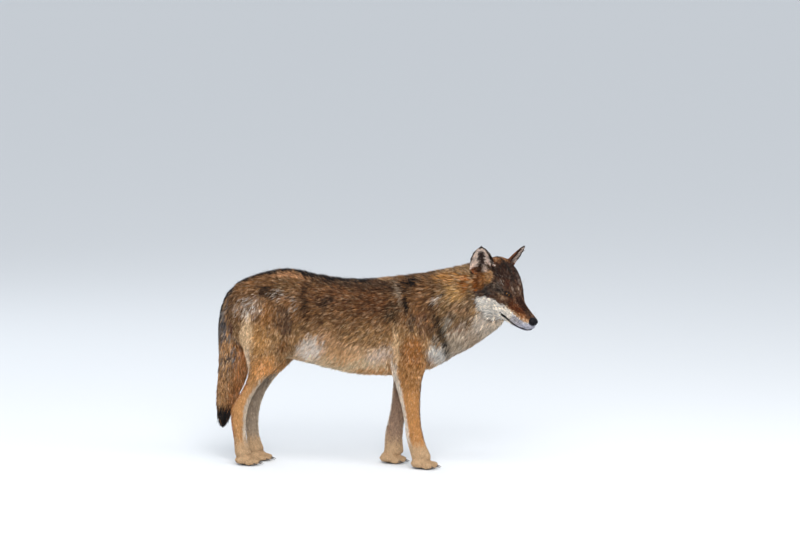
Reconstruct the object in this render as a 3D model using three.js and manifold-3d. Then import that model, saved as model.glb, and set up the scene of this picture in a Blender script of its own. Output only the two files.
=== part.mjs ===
// A grey wolf, standing still with its head turned to its right: a life-size display model.
// Millimetres, +X ahead, +Y to the animal's left, +Z up, standing on Z = 0.
// The solids are the outer form of the winter coat. The flesh is drawn whole, out of lofts, and is then
// parted by thin cuts into the pieces that a person would name.
import * as THREE from "three";
import { mergeVertices } from "three/addons/utils/BufferGeometryUtils.js";
import Module from "manifold-3d";

const wasm = await Module();
wasm.setup();

// ---- Driving dimensions ----

const CROUP_HEIGHT = 700; // top of the coat over the hips, the tallest part of the back
const CUT = 0.4; // width of the cuts that part the body

// Every place and size below is in hundredths of the croup height.
const UNIT = CROUP_HEIGHT / 100;
const GAP = CUT / UNIT;
const FAR = 400; // larger than the animal, for cutting boxes

const HEAD_TURN = 42; // degrees to the animal's right
const HEAD_DOWN = 24; // degrees that the muzzle points below level

// Each ear leans out and tips forward from upright, and its cup faces outwards from ahead, in degrees.
const RIGHT_EAR = { lean: 22, tip: 0, turn: 45 };
const LEFT_EAR = { lean: 5, tip: 14, turn: 25 };
const EAR_HEIGHT = 15.6;
const EAR_HALF = 6.5;
const EAR_DEPTH = 4;
const EAR_THICKNESS = 0.9;

const EYE_RADIUS = 1.65;

// The left feet stand apart from the right ones.
const FORE_SWING = 0.33; // how far the left foreleg goes back for each unit down from its elbow
const ELBOW = 55; // height
const HIND_REACH = 3.5; // how far the left hind foot is set ahead
const HIP = 72; // height where that reach begins
const STIFLE = 50; // height where it is full

const FORE_PAW = 1.08; // sizes of the paws
const HIND_PAW = 1;
const TOE_STEP = 1.25; // from one toe's root to the next
const TOE_SPREAD = 0.16; // radians between neighbouring toes
const CLAW_LENGTH = 3;
const CLAW_HALF = 0.52; // half its width at the root
const CLAW_DROOP = 1.15; // from its root down to its point

// ---- Frames ----

function place(x, y, z) {
  return new THREE.Vector3(x, y, z);
}

const radians = THREE.MathUtils.degToRad;
const AHEAD = place(1, 0, 0);
const LEFT = place(0, 1, 0);
const UP = place(0, 0, 1);
const NOSE = place(106.3, -27.1, 77); // front of the nose pad

// The head's own axes: ahead along the muzzle, to its right, and up through the crown.
const ahead = place(Math.cos(radians(HEAD_TURN)), -Math.sin(radians(HEAD_TURN)), 0)
  .multiplyScalar(Math.cos(radians(HEAD_DOWN)))
  .setZ(-Math.sin(radians(HEAD_DOWN)));
const right = ahead.clone().cross(UP).normalize();
const crown = right.clone().cross(ahead);

// A point in the head: behind the nose, to the right of it and above it.
function inHead(behind, aside, above) {
  return NOSE.clone()
    .addScaledVector(ahead, -behind)
    .addScaledVector(right, aside)
    .addScaledVector(crown, above);
}

// ---- Making solids ----

// A closed mesh in hundredths, as a solid in millimetres with its faces out.
function solid(geometry) {
  geometry.deleteAttribute("normal");
  geometry.deleteAttribute("uv");
  const merged = mergeVertices(geometry, 1e-4);
  const vertProperties = merged.attributes.position.array.map((value) => value * UNIT);
  const triVerts = new Uint32Array(merged.index.array);
  const made = new wasm.Manifold(new wasm.Mesh({ numProp: 3, vertProperties, triVerts }));
  if (made.volume() > 0) return made;
  return new wasm.Manifold(new wasm.Mesh({ numProp: 3, vertProperties, triVerts: triVerts.reverse() }));
}

function joined(solids) {
  return solids.reduce((all, next) => all.add(next));
}

// The largest body of a solid, without crumbs that a cut left.
function largest(made) {
  return made.decompose().reduce((most, body) => (body.volume() > most.volume() ? body : most));
}

// One section of a loft, from its top (or front) to its bottom (or back), and half its width aside.
function section(top, bottom, half, side = LEFT) {
  return { top, bottom, half, side };
}

function curve(points) {
  return new THREE.CatmullRomCurve3(points, false, "catmullrom", 0.5);
}

// A cosine or sine drawn out towards a rounded square as the power rises from 2.
function squared(value, power) {
  return Math.sign(value) * Math.abs(value) ** (2 / power);
}

// A closed tube through its sections. keel narrows it below, and ends says how much of it is rounded off.
function loft(sections, { rings, sides, power = 2, keel = 0, ends = [0.06, 0.06], grow = 0 }) {
  const tops = curve(sections.map((s) => s.top));
  const bottoms = curve(sections.map((s) => s.bottom));
  const halves = curve(sections.map((s) => place(s.half, 0, 0)));
  const aside = curve(sections.map((s) => s.side));
  const ring = (share) => {
    const top = tops.getPoint(share);
    const bottom = bottoms.getPoint(share);
    const side = aside.getPoint(share).normalize();
    const half = halves.getPoint(share).x + grow;
    const centre = top.clone().add(bottom).divideScalar(2);
    const rise = top.clone().sub(centre);
    rise.setLength(rise.length() + grow);
    const toEnd = Math.min(1, (share + 0.002) / ends[0], (1.002 - share) / ends[1]);
    const swell = Math.sqrt(1 - (1 - toEnd) ** 2);
    return Array.from({ length: sides }, (_, i) => {
      const angle = (2 * Math.PI * i) / sides;
      const across = squared(Math.cos(angle), power) * (1 + keel * Math.sin(angle));
      const along = squared(Math.sin(angle), power);
      return centre
        .clone()
        .addScaledVector(side, across * half * swell)
        .addScaledVector(rise, along * swell);
    });
  };
  return strip(Array.from({ length: rings + 1 }, (_, i) => ring(i / rings)));
}

function middle(points) {
  return points.reduce((sum, p) => sum.add(p), place(0, 0, 0)).divideScalar(points.length);
}

// A closed solid from rings of points, each joined to the next, with a fan over each end.
function strip(rings) {
  const sides = rings[0].length;
  const vertices = [...rings.flat(), middle(rings[0]), middle(rings.at(-1))];
  const last = vertices.length - 1;
  const end = last - 1 - sides;
  const faces = [];
  for (let i = 0; i < sides; i++) {
    const next = (i + 1) % sides;
    faces.push(last - 1, next, i, last, end + i, end + next);
    for (let start = 0; start < end; start += sides) {
      faces.push(start + i, start + next, start + sides + i);
      faces.push(start + next, start + sides + next, start + sides + i);
    }
  }
  const geometry = new THREE.BufferGeometry().setFromPoints(vertices);
  geometry.setIndex(faces);
  return solid(geometry);
}

// An ellipsoid with half sizes along its own three axes.
function egg(centre, halves, axes = [AHEAD, LEFT, UP], segments = [10, 8]) {
  const ball = new THREE.SphereGeometry(1, ...segments).scale(...halves);
  return solid(ball.applyMatrix4(new THREE.Matrix4().makeBasis(...axes).setPosition(centre)));
}

// All that lies beyond a plane, on the side that its normal points to.
function beyond(point, normal, back = 0) {
  const box = new THREE.BoxGeometry(FAR, FAR, FAR).translate(0, 0, FAR / 2 - back);
  const turned = new THREE.Quaternion().setFromUnitVectors(UP, normal.clone().normalize());
  return solid(box.applyQuaternion(turned).translate(point.x, point.y, point.z));
}

// A side-view outline with rounded corners, cut straight across the body from one depth to another.
function slab(outline, near, far, grow = 0) {
  const points = outline.map(([x, z]) => new THREE.Vector2(x, z));
  const centre = points.reduce((sum, p) => sum.add(p), new THREE.Vector2()).divideScalar(points.length);
  const shape = new THREE.Shape();
  shape.moveTo(points[0].x, points[0].y).splineThru([...points.slice(1), points[0]]);
  const edge = shape.getPoints(2).map((p) => {
    const out = p.clone().sub(centre);
    return out.setLength(out.length() + grow).add(centre);
  });
  const depth = far - near + 2 * grow;
  const prism = new THREE.ExtrudeGeometry(new THREE.Shape(edge), { depth, bevelEnabled: false });
  return solid(prism.rotateX(Math.PI / 2).translate(0, far + grow, 0));
}

// ---- The flesh, drawn whole ----

// The deep, narrow chest, the tucked loin and the rounded croup.
function trunkForm(grow = 0) {
  const rib = (x, top, bottom, half) => section(place(x, 0, top), place(x, 0, bottom), half);
  return loft(
    [
      rib(-53.5, 84.5, 70, 6),
      rib(-48, 91.5, 60, 12),
      rib(-36, 97, 54.5, 15),
      rib(-21, 99.7, 52.5, 15.6),
      rib(-8, 97.3, 49.6, 14.6),
      rib(8, 95, 45.8, 16.2),
      rib(22, 95.3, 44.6, 17.6),
      rib(36, 97, 45.2, 16.8),
      rib(47, 98.2, 48.8, 14.2),
      rib(58, 98, 56, 10),
    ],
    { rings: 18, sides: 18, power: 2.15, keel: 0.08, ends: [0.1, 0.08], grow },
  );
}

// The neck in its thick ruff, rising ahead and bending round to the right.
function neckForm() {
  const turned = (degrees) => LEFT.clone().applyAxisAngle(UP, -radians(degrees));
  return loft(
    [
      section(place(38, 0, 95), place(40, 0, 49), 13),
      section(place(47, 0, 98.5), place(49, 0, 47.6), 14.6),
      section(place(54, 0, 99.8), place(56.5, 0, 51), 15.2, turned(3)),
      section(place(61, -0.3, 101.4), place(64, -0.4, 55.8), 15.4, turned(7)),
      section(place(68, -0.9, 103), place(71.5, -1.2, 60), 15, turned(13)),
      section(place(74.5, -1.8, 104.4), place(78.5, -2.4, 65), 14.4, turned(22)),
      section(place(80, -3.4, 104.6), place(84.5, -5, 70.5), 13.6, turned(33)),
      section(place(85, -6.8, 102), place(89.5, -8.6, 77), 11.4, turned(42)),
    ],
    { rings: 11, sides: 16, power: 2.1, ends: [0.05, 0.12] },
  );
}

// The head: a domed skull, cheek ruffs spreading behind the jaws, and a long muzzle that narrows to the nose.
function headForm() {
  const slice = (behind, above, below, half) =>
    section(inHead(behind, 0, above), inHead(behind, 0, below), half, right);
  const skull = loft(
    [
      slice(43, 12, -8, 8),
      slice(38, 15.8, -11, 10.4),
      slice(33, 16.2, -11, 10.8),
      slice(28, 14.8, -10.6, 10.6),
      slice(23, 11.4, -10.4, 9.4),
      slice(19, 7.6, -10, 7.6),
      slice(14.5, 4.4, -9, 5.2),
      slice(10, 2.6, -8, 3.8),
    ],
    { rings: 10, sides: 16, power: 2.3, ends: [0.1, 0.08] },
  );
  const ruff = loft(
    [
      slice(21, 0, -9, 6),
      slice(26, 3, -11.8, 10.4),
      slice(31, 5, -13.8, 13.4),
      slice(36.5, 6, -14.4, 14.2),
      slice(42, 4, -13, 12.6),
      slice(48, 2, -10, 9),
    ],
    { rings: 7, sides: 14, ends: [0.16, 0.2] },
  );
  const muzzle = loft(
    [
      slice(22, 6, -9, 5.2),
      slice(17, 5, -9.6, 5.5),
      slice(12, 3.2, -9.2, 5.1),
      slice(7, 1.9, -8.3, 4.6),
      slice(3, 1.2, -7.2, 4),
      slice(0.6, 0.8, -5.6, 3),
    ],
    { rings: 7, sides: 12, power: 2.5, ends: [0.06, 0.12] },
  );
  return joined([skull, ruff, muzzle]);
}

// A leg's sections are given for the right one, level by level, as front, back, offset and half width.
// shift moves each level ahead, to set the left feet apart from the right ones.
function legForm({ levels, side, shift }, grow = 0) {
  const sections = levels.map(([front, back, offset, half]) =>
    section(
      place(front[0] + shift(front[1]), side * offset, front[1]),
      place(back[0] + shift(back[1]), side * offset, back[1]),
      half,
    ),
  );
  return loft(sections, { rings: 16, sides: 10, ends: [0.05, 0.03], grow });
}

const FORE_LEVELS = [
  [[51, 85], [37, 87], 8.4, 5],
  [[54, 72], [33.5, 74], 10.8, 6.2],
  [[53.5, 58], [31.5, 60], 11.4, 7],
  [[49.5, 48], [31.6, 49.5], 11.2, 6],
  [[47.8, 40], [34.4, 41.5], 10.4, 4.8],
  [[47.2, 30], [37.2, 31], 9.6, 4],
  [[47.6, 22], [38.6, 22.4], 9, 3.5],
  [[48.6, 17], [39, 17], 8.7, 3.8],
  [[49.8, 12], [40.2, 12], 8.5, 3.8],
  [[52, 7], [42, 6], 8.4, 4],
  [[53, 3.5], [43, 2.5], 8.4, 4],
];

const HIND_LEVELS = [
  [[-20, 91], [-45, 90], 6.4, 5],
  [[-12.5, 79], [-48.6, 80], 9, 6.6],
  [[-13, 67], [-47, 68], 10.2, 7.2],
  [[-18, 56.5], [-42.5, 56.5], 10.8, 6.8],
  [[-25, 49], [-40.4, 48], 10.5, 5.4],
  [[-32, 42.5], [-42, 40.5], 9.9, 4.2],
  [[-37, 36], [-46.4, 33.6], 9.3, 3.5],
  [[-40.2, 28], [-49.6, 28], 8.9, 3.3],
  [[-41.2, 20], [-49, 19.6], 8.6, 3],
  [[-40.8, 12.5], [-47.8, 12], 8.4, 3.2],
  [[-39, 7.5], [-47.4, 6.5], 8.3, 3.7],
  [[-37.6, 3.5], [-46.6, 2.5], 8.3, 3.8],
];

// Toes in order across the paw, as how many steps each stands from its middle line.
const TOES = [-1.5, -0.5, 0.5, 1.5];
const TOE_MIDDLE = 1.75; // height

// The way a toe points, how far ahead of the heel its middle is, and a place along it.
function toeAim(rank) {
  return AHEAD.clone().applyAxisAngle(UP, rank * TOE_SPREAD);
}

function toeReach(rank) {
  return Math.abs(rank) < 1 ? 9.2 : 7.5;
}

function onToe(heel, size, rank, reach, height) {
  const spot = heel.clone().addScaledVector(toeAim(rank), reach * size);
  return spot.add(place(0, rank * TOE_STEP * size, height * size));
}

// A paw: the ball of the foot, and four toes spread like a fan ahead of it.
function pawForm(heel, size, grow = 0) {
  const lump = (centre, halves, axes, segments) =>
    egg(centre, halves.map((half) => half * size + grow), axes, segments);
  const toes = TOES.map((rank) => {
    const out = toeAim(rank);
    const axes = [out, UP.clone().cross(out), UP];
    return lump(onToe(heel, size, rank, toeReach(rank), TOE_MIDDLE), [3, 1.62, 2.1], axes, [7, 4]);
  });
  const ball = lump(onToe(heel, size, 0, 4.4, 2.6), [5.4, 4.6, 3.1], undefined, [8, 5]);
  return joined([ball, ...toes]);
}

// The bushy tail, hanging straight down behind the hocks.
function tailForm() {
  const level = ([backX, backZ], [frontX, frontZ], half) =>
    section(place(backX, 0, backZ), place(frontX, 0, frontZ), half);
  return loft(
    [
      level([-44, 93], [-40, 78], 4.5),
      level([-51.5, 88], [-45, 76], 5),
      level([-56, 78], [-46, 72], 4.8),
      level([-57.6, 67], [-43, 65], 5),
      level([-57.2, 55], [-40.6, 54], 5.4),
      level([-57.8, 43.5], [-42, 43], 5.4),
      level([-58.6, 33], [-47, 32], 4.9),
      level([-58, 25], [-50, 25], 4),
      level([-56.6, 20.6], [-53, 20.6], 1.6),
    ],
    { rings: 14, sides: 12, ends: [0.03, 0.04] },
  );
}

// ---- Ears, eyes, nose and claws ----

// An ear: a cupped leaf with a rounded tip, rooted in the skull. Its rings are crescents, out along the back
// and home inside the cup.
function earForm(side, { lean, tip, turn }) {
  const outward = right.clone().multiplyScalar(side);
  const axis = crown.clone().addScaledVector(outward, Math.tan(radians(lean)));
  axis.addScaledVector(ahead, Math.tan(radians(tip))).normalize();
  const open = ahead.clone().multiplyScalar(Math.cos(radians(turn)));
  open.addScaledVector(outward, Math.sin(radians(turn)));
  open.addScaledVector(axis, -open.dot(axis)).normalize();
  const across = axis.clone().cross(open);
  const root = inHead(36, side * 9.2, 9);
  const rings = [-0.3, 0, 0.25, 0.5, 0.72, 0.9, 1].map((share) => {
    const rooted = 1 + 2.2 * Math.min(0, share);
    const half = EAR_HALF * rooted * (1 - Math.max(0, share) ** 2.4) ** 0.72 + 0.35;
    const depth = EAR_DEPTH * rooted * (1 - Math.max(0, share)) ** 0.7 + 0.5;
    const arc = (inset) =>
      Array.from({ length: 7 }, (_, k) => {
        const angle = (Math.PI * (k - 3)) / 6.4;
        return root
          .clone()
          .addScaledVector(axis, EAR_HEIGHT * share)
          .addScaledVector(across, Math.sin(angle) * (half - inset))
          .addScaledVector(open, -Math.cos(angle) * Math.max(depth - inset, 0.05));
      });
    const thin = Math.min(EAR_THICKNESS, half * 0.5);
    return [...arc(0), ...arc(thin).reverse()];
  });
  return strip(rings);
}

// An eye is a ball, seen through a narrow opening between the lids that slants up and back across it.
function eyeCentre(side) {
  return inHead(19.8, side * 3.95, 4.9);
}

function eyeForm(side, grow = 0) {
  const half = EYE_RADIUS + grow;
  return egg(eyeCentre(side), [half, half, half], [ahead, right, crown], [8, 6]);
}

function lidOpening(side) {
  const outward = right.clone().multiplyScalar(side);
  const out = outward.clone().addScaledVector(ahead, 0.55).addScaledVector(crown, 0.75).normalize();
  const along = ahead.clone().addScaledVector(crown, -0.3).addScaledVector(outward, -0.3);
  along.addScaledVector(out, -along.dot(out)).normalize();
  const centre = eyeCentre(side).addScaledVector(out, 2);
  return egg(centre, [1.9, 1, 1.5], [along, out.clone().cross(along), out], [8, 6]);
}

// The nose pad: rounded, wider than tall, and set into the end of the muzzle.
function noseForm(grow) {
  return egg(inHead(1.6, 0, -1.1), [2.1 + grow, 2.5 + grow, 2.1 + grow], [ahead, right, crown], [9, 6]);
}

// A claw: a blunt curved cone that leaves the toe low down and points ahead to the floor.
function clawForm(root, out) {
  const aside = UP.clone().cross(out);
  const sections = [0, 0.35, 0.7, 1].map((share) => {
    const half = CLAW_HALF * (1 - 0.72 * share);
    const centre = root.clone().addScaledVector(out, CLAW_LENGTH * share);
    centre.addScaledVector(UP, -CLAW_DROOP * share ** 1.6);
    const above = centre.clone().addScaledVector(UP, half * 1.2);
    return section(above, centre.addScaledVector(UP, -half), half, aside);
  });
  return loft(sections, { rings: 3, sides: 5, ends: [0.05, 0.12] });
}

// ---- The whole animal, parted ----

const coat = {
  back: { color: 0x6e543c, roughness: 0.9 },
  ruff: { color: 0x8d6f4e, roughness: 0.9 },
  mask: { color: 0x8a6a4c, roughness: 0.9 },
  chin: { color: 0xd9cfc0, roughness: 0.9 },
  tawny: { color: 0xc08a52, roughness: 0.9 },
  brush: { color: 0x8c6a47, roughness: 0.9 },
  black: { color: 0x1f1a18, roughness: 0.9 },
  nose: { color: 0x18171a, roughness: 0.45 },
  eye: { color: 0xa8701f, roughness: 0.1 },
  claw: { color: 0x2c2623, roughness: 0.5 },
};

const wolf = new THREE.Group();

// A solid as a named mesh in the group.
function add(name, made, finish) {
  const mesh = largest(made).getMesh();
  const geometry = new THREE.BufferGeometry();
  geometry.setAttribute("position", new THREE.BufferAttribute(mesh.vertProperties, 3));
  geometry.setIndex(new THREE.BufferAttribute(mesh.triVerts, 1));
  const node = new THREE.Mesh(geometry, new THREE.MeshStandardMaterial({ ...finish, metalness: 0 }));
  node.name = name;
  wolf.add(node);
}

// Parts a solid by a plane: what lies beyond it, and the rest.
function parted(made, point, normal) {
  return [made.intersect(beyond(point, normal)), made.subtract(beyond(point, normal, GAP))];
}

const still = () => 0;
const swungBack = (z) => -FORE_SWING * Math.max(0, ELBOW - z);
const reachedAhead = (z) => HIND_REACH * THREE.MathUtils.clamp((HIP - z) / (HIP - STIFLE), 0, 1);

// A leg is parted from the body beyond its inner depth, and again at two of its levels, where the upper cut
// tilts. Its sole starts a little behind its lowest level.
const fore = { name: "fore", levels: FORE_LEVELS, size: FORE_PAW };
Object.assign(fore, { behind: 0.6, inner: 3.6, cuts: [4, 8], tilt: 0.1 });
const hind = { name: "hind", levels: HIND_LEVELS, size: HIND_PAW };
Object.assign(hind, { behind: 0, inner: 3, cuts: [5, 9], tilt: 0.45 });
const legs = [
  { ...fore, hand: "right", side: -1, shift: still },
  { ...fore, hand: "left", side: 1, shift: swungBack },
  { ...hind, hand: "right", side: -1, shift: still },
  { ...hind, hand: "left", side: 1, shift: reachedAhead },
];
for (const leg of legs) {
  const [, back, offset] = leg.levels.at(-1);
  leg.sole = place(back[0] - leg.behind + leg.shift(0), leg.side * offset, 0);
}

// Where a leg is parted from the body, as side-view outlines: round the shoulder, and round the haunch.
const SHOULDER = [
  [15, -8], [18, 20], [26, 41], [31, 52], [32.5, 68], [36.5, 80], [43.5, 85.5],
  [50.5, 80], [55.5, 67], [54, 54], [52.8, 44], [54, 34], [62, 14], [64, -8],
];
const HAUNCH = [
  [-68, -8], [-66, 30], [-50.6, 52], [-50.5, 68], [-46, 84], [-34, 90],
  [-19, 82], [-12, 68], [-15, 54], [-20, 40], [-20, 10], [-22, -8],
];

const legForms = legs.map((leg) => legForm(leg).add(pawForm(leg.sole, leg.size)));
let body = joined([trunkForm(), neckForm(), headForm(), ...legForms]).intersect(beyond(place(0, 0, 0), UP));
for (const leg of legs) {
  const outline = leg.name === "fore" ? SHOULDER : HAUNCH;
  const [near, far] = leg.side > 0 ? [leg.inner, FAR] : [-FAR, -leg.inner];
  leg.whole = body.intersect(slab(outline, near, far));
  body = body.subtract(slab(outline, near, far, GAP));
}

// The foreleg is parted at the elbow and under the wrist, and the hind leg at the knee and under the hock.
for (const { name, hand, side, whole, sole, size, shift, levels, cuts, tilt } of legs) {
  const partedAt = (made, level, lean) => {
    const [front, back, offset] = levels[level];
    const z = (front[1] + back[1]) / 2;
    return parted(made, place((front[0] + back[0]) / 2 + shift(z), side * offset, z), place(lean, 0, 1));
  };
  const [upper, below] = partedAt(whole, cuts[0], tilt);
  const [lower, paw] = partedAt(below, cuts[1], 0.1);
  add(`${name}leg_${hand}_upper`, upper, coat.back);
  add(`${name}leg_${hand}_lower`, lower, coat.tawny);
  add(`${name}paw_${hand}`, paw, coat.tawny);
  const bed = pawForm(sole, size, GAP);
  TOES.forEach((rank, i) => {
    const claw = clawForm(onToe(sole, size, rank, toeReach(rank) + 1.8, TOE_MIDDLE), toeAim(rank));
    add(`${name}claw_${hand}_${i + 1}`, claw.subtract(bed), coat.claw);
  });
}

// The neck runs from the front of the shoulders to behind the ears and the corners of the jaws.
const [front, trunk] = parted(body, place(52, 0, 76), place(0.97, 0, 0.26));
const [head, neck] = parted(front, inHead(41, 0, 6), place(0.72, -0.65, 0.22));

// The mouth is shut: the lower jaw is the wedge under a line from the chin to below the eyes.
const bite = inHead(2, 0, -4.9);
const corner = inHead(17.5, 0, -5.9);
const biteDown = right.clone().cross(corner.clone().sub(bite));
const jawRegion = (back) => beyond(bite, biteDown, back).intersect(beyond(corner, ahead, back));
const muzzle = head.subtract(noseForm(GAP));
const face = [1, -1].reduce(
  (left, side) => left.subtract(eyeForm(side, GAP)).subtract(lidOpening(side)),
  muzzle.subtract(jawRegion(GAP)),
);
add("head", face, coat.mask);
add("lower_jaw", muzzle.intersect(jawRegion(0)), coat.chin);
add("nose", noseForm(0), coat.nose);
add("ear_right", earForm(1, RIGHT_EAR).subtract(head).subtract(neck), coat.mask);
add("ear_left", earForm(-1, LEFT_EAR).subtract(head).subtract(neck), coat.mask);
add("eye_right", eyeForm(1), coat.eye);
add("eye_left", eyeForm(-1), coat.eye);
add("neck", neck, coat.ruff);

// The tail leaves the rump between the haunches.
const clear = tailForm().subtract(trunkForm(GAP));
const hung = legs.reduce((left, leg) => left.subtract(legForm(leg, GAP)), clear);
const [brush, tip] = parted(hung, place(-55, 0, 36), UP);
add("trunk", trunk, coat.back);
add("tail", brush, coat.brush);
add("tail_tip", tip, coat.black);

// The origin is on the floor under the middle of the animal.
const box = new THREE.Box3().setFromObject(wolf);
const centre = box.getCenter(place(0, 0, 0));
wolf.position.set(-centre.x, -centre.y, -box.min.z);

export default wolf;
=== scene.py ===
import math
import bpy
import numpy as np
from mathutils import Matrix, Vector, kdtree
from mathutils.bvhtree import BVHTree


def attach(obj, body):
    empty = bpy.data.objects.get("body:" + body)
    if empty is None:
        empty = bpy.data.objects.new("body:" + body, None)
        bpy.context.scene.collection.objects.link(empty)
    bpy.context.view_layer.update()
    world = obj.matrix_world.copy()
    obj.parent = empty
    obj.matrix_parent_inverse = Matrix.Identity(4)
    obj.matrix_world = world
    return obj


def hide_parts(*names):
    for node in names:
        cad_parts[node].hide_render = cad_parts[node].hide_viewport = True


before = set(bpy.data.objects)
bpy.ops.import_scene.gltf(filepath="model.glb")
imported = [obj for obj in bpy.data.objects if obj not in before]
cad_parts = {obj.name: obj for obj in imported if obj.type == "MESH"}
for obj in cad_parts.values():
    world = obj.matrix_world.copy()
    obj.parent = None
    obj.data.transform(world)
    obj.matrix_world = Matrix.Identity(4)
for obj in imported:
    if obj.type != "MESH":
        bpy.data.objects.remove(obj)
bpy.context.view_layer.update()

# ---------------------------------------------------------------- hide
# The hide of the wolf, one closed surface from the nose to the tail with no seam, tanned and drawn
# over a body form. It starts from copies of the solids of flesh, which reach to the tips of the
# coat, and is drawn in under them by the depth of the fur, so that the fur has room to lie.
MM = 0.001
CELL = 3.2 * MM  # the side of one cell of the remeshed hide
THINNED = 0.33  # the share of the cells kept where long fur hides them
MIDLINE = 34.19 * MM  # the plane between the animal's right and left halves
FLESH = [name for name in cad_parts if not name.startswith(("eye", "nose")) and "claw" not in name]


def pick(*things):
    """Selects only these objects and makes the first of them active."""
    bpy.ops.object.select_all(action="DESELECT")
    for thing in things:
        thing.select_set(True)
    bpy.context.view_layer.objects.active = things[0]


def finish_with(thing, kind, **settings):
    """Adds one modifier to a piece and applies it."""
    pick(thing)
    modifier = thing.modifiers.new(kind.title(), kind)
    for key, value in settings.items():
        setattr(modifier, key, value)
    bpy.ops.object.modifier_apply(modifier=modifier.name)


def edit_all(thing, operator, **settings):
    """Runs one operator of edit mode on the whole of a piece."""
    pick(thing)
    bpy.ops.object.mode_set(mode="EDIT")
    bpy.ops.mesh.select_all(action="SELECT")
    operator(**settings)
    bpy.ops.object.mode_set(mode="OBJECT")


def twin(name):
    """A copy of a CAD node with its loose triangles merged."""
    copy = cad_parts[name].copy()
    copy.data = copy.data.copy()
    copy.parent = None
    for key in list(copy.keys()):
        del copy[key]
    bpy.context.scene.collection.objects.link(copy)
    edit_all(copy, bpy.ops.mesh.remove_doubles, threshold=0.01 * MM)
    return copy


def spots(thing):
    """The vertices of a piece as rows of x, y and z."""
    rows = np.empty(len(thing.data.vertices) * 3)
    thing.data.vertices.foreach_get("co", rows)
    return rows.reshape(-1, 3)


def put(thing, rows):
    """Moves the vertices of a piece to these rows."""
    thing.data.vertices.foreach_set("co", rows.ravel())
    thing.data.update()


def unit(rows):
    """The same directions, each with a length of 1."""
    return rows / np.maximum(np.linalg.norm(rows, axis=-1, keepdims=True), 1e-12)


def corners(thing):
    """The triangles of a piece as rows of three vertex numbers."""
    thing.data.calc_loop_triangles()
    rows = np.empty(len(thing.data.loop_triangles) * 3, np.int32)
    thing.data.loop_triangles.foreach_get("vertices", rows)
    return rows.reshape(-1, 3)


def edges_of(thing):
    """The edges of a piece as rows of two vertex numbers."""
    rows = np.empty(len(thing.data.edges) * 2, np.int32)
    thing.data.edges.foreach_get("vertices", rows)
    return rows.reshape(-1, 2)


def facing(rows, faces):
    """The normal at each vertex, from the faces around it by their area."""
    a, b, c = rows[faces[:, 0]], rows[faces[:, 1]], rows[faces[:, 2]]
    across = np.cross(b - a, c - a)
    total = np.zeros_like(rows)
    for axis in range(3):
        total[:, axis] = np.bincount(faces.ravel(), np.repeat(across[:, axis], 3), len(rows))
    return unit(total)


def evened(values, ends, times, share=0.5):
    """Draws each vertex's value towards the mean of its neighbours, several times over."""
    values = np.array(values, float)
    flat = values.reshape(len(values), -1)
    count = np.maximum(np.bincount(ends.ravel(), minlength=len(flat)), 1)
    for _ in range(times):
        for column in range(flat.shape[1]):
            held = flat[:, column]
            near = np.bincount(ends[:, 0], held[ends[:, 1]], len(held))
            near += np.bincount(ends[:, 1], held[ends[:, 0]], len(held))
            flat[:, column] += (near / count - held) * share
    return flat.reshape(values.shape)


def rise(values, start, end):
    """0 below start, 1 above end and a smooth slope between."""
    share = np.clip((np.asarray(values, float) - start) / (end - start), 0, 1)
    return share * share * (3 - 2 * share)


def hump(values, middle, reach):
    """1 at the middle and 0 from one reach away."""
    return 1 - rise(np.abs(np.asarray(values, float) - middle), 0, reach)


NOSE = Vector((573.96, -155.51, 539)) * MM  # the middle of the nose's tip
TURN, DOWN = math.radians(42), math.radians(24)  # the head's turn to its right, and its dip
AHEAD = Vector((math.cos(DOWN) * math.cos(TURN), -math.cos(DOWN) * math.sin(TURN), -math.sin(DOWN)))
ASIDE = Vector((-math.sin(TURN), -math.cos(TURN), 0))
CROWN = ASIDE.cross(AHEAD)


def from_head(behind, aside, above):
    """A point of the head, in mm behind the nose, towards the right and above the nose."""
    return NOSE + (CROWN * above + ASIDE * aside - AHEAD * behind) * MM


def in_head(rows):
    """Where points lie in the head, in the same three measures."""
    away = (rows - np.array(NOSE)) / MM
    return -away @ np.array(AHEAD), away @ np.array(ASIDE), away @ np.array(CROWN)


EYE_RADIUS = 11.5 * MM
EYE_PLUG = 2.5 * MM  # how far the lids' first blank stands off the eye
EYE_BEHIND, EYE_ASIDE, EYE_ABOVE = 138.6, 27.65, 34.3  # the middle of the eye, in mm from the nose


def eye_frame(side):
    """An eye's centre, the way its lids open, the way to its outer corner, and up across it."""
    centre = from_head(EYE_BEHIND, side * EYE_ASIDE, EYE_ABOVE)
    out = (AHEAD * 0.58 + ASIDE * 0.7 * side + CROWN * 0.41).normalized()
    corner = AHEAD * -0.81 + ASIDE * 0.53 * side + CROWN * 0.24
    corner = (corner - out * corner.dot(out)).normalized()
    over = out.cross(corner)
    return centre, out, corner, over if over.dot(CROWN) > 0 else -over


flesh = [twin(name) for name in FLESH]
solid_points, solid_faces, solid_node = [], [], []
for part, name in zip(flesh, FLESH):
    part_faces = corners(part)
    solid_faces.append(part_faces + sum(map(len, solid_points)))
    solid_node += [name] * len(part_faces)
    solid_points.append(spots(part))
solids = BVHTree.FromPolygons(np.concatenate(solid_points).tolist(), np.concatenate(solid_faces).tolist())
flesh.append(twin("nose"))
for side in (1, -1):
    bpy.ops.mesh.primitive_uv_sphere_add(radius=EYE_RADIUS + EYE_PLUG, location=eye_frame(side)[0])
    flesh.append(bpy.context.object)
pick(*flesh)
bpy.ops.object.join()
skin = flesh[0]
skin.name = skin.data.name = "skin"
skin.data.materials.clear()
finish_with(skin, "REMESH", mode="VOXEL", voxel_size=CELL, adaptivity=0.0)

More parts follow.
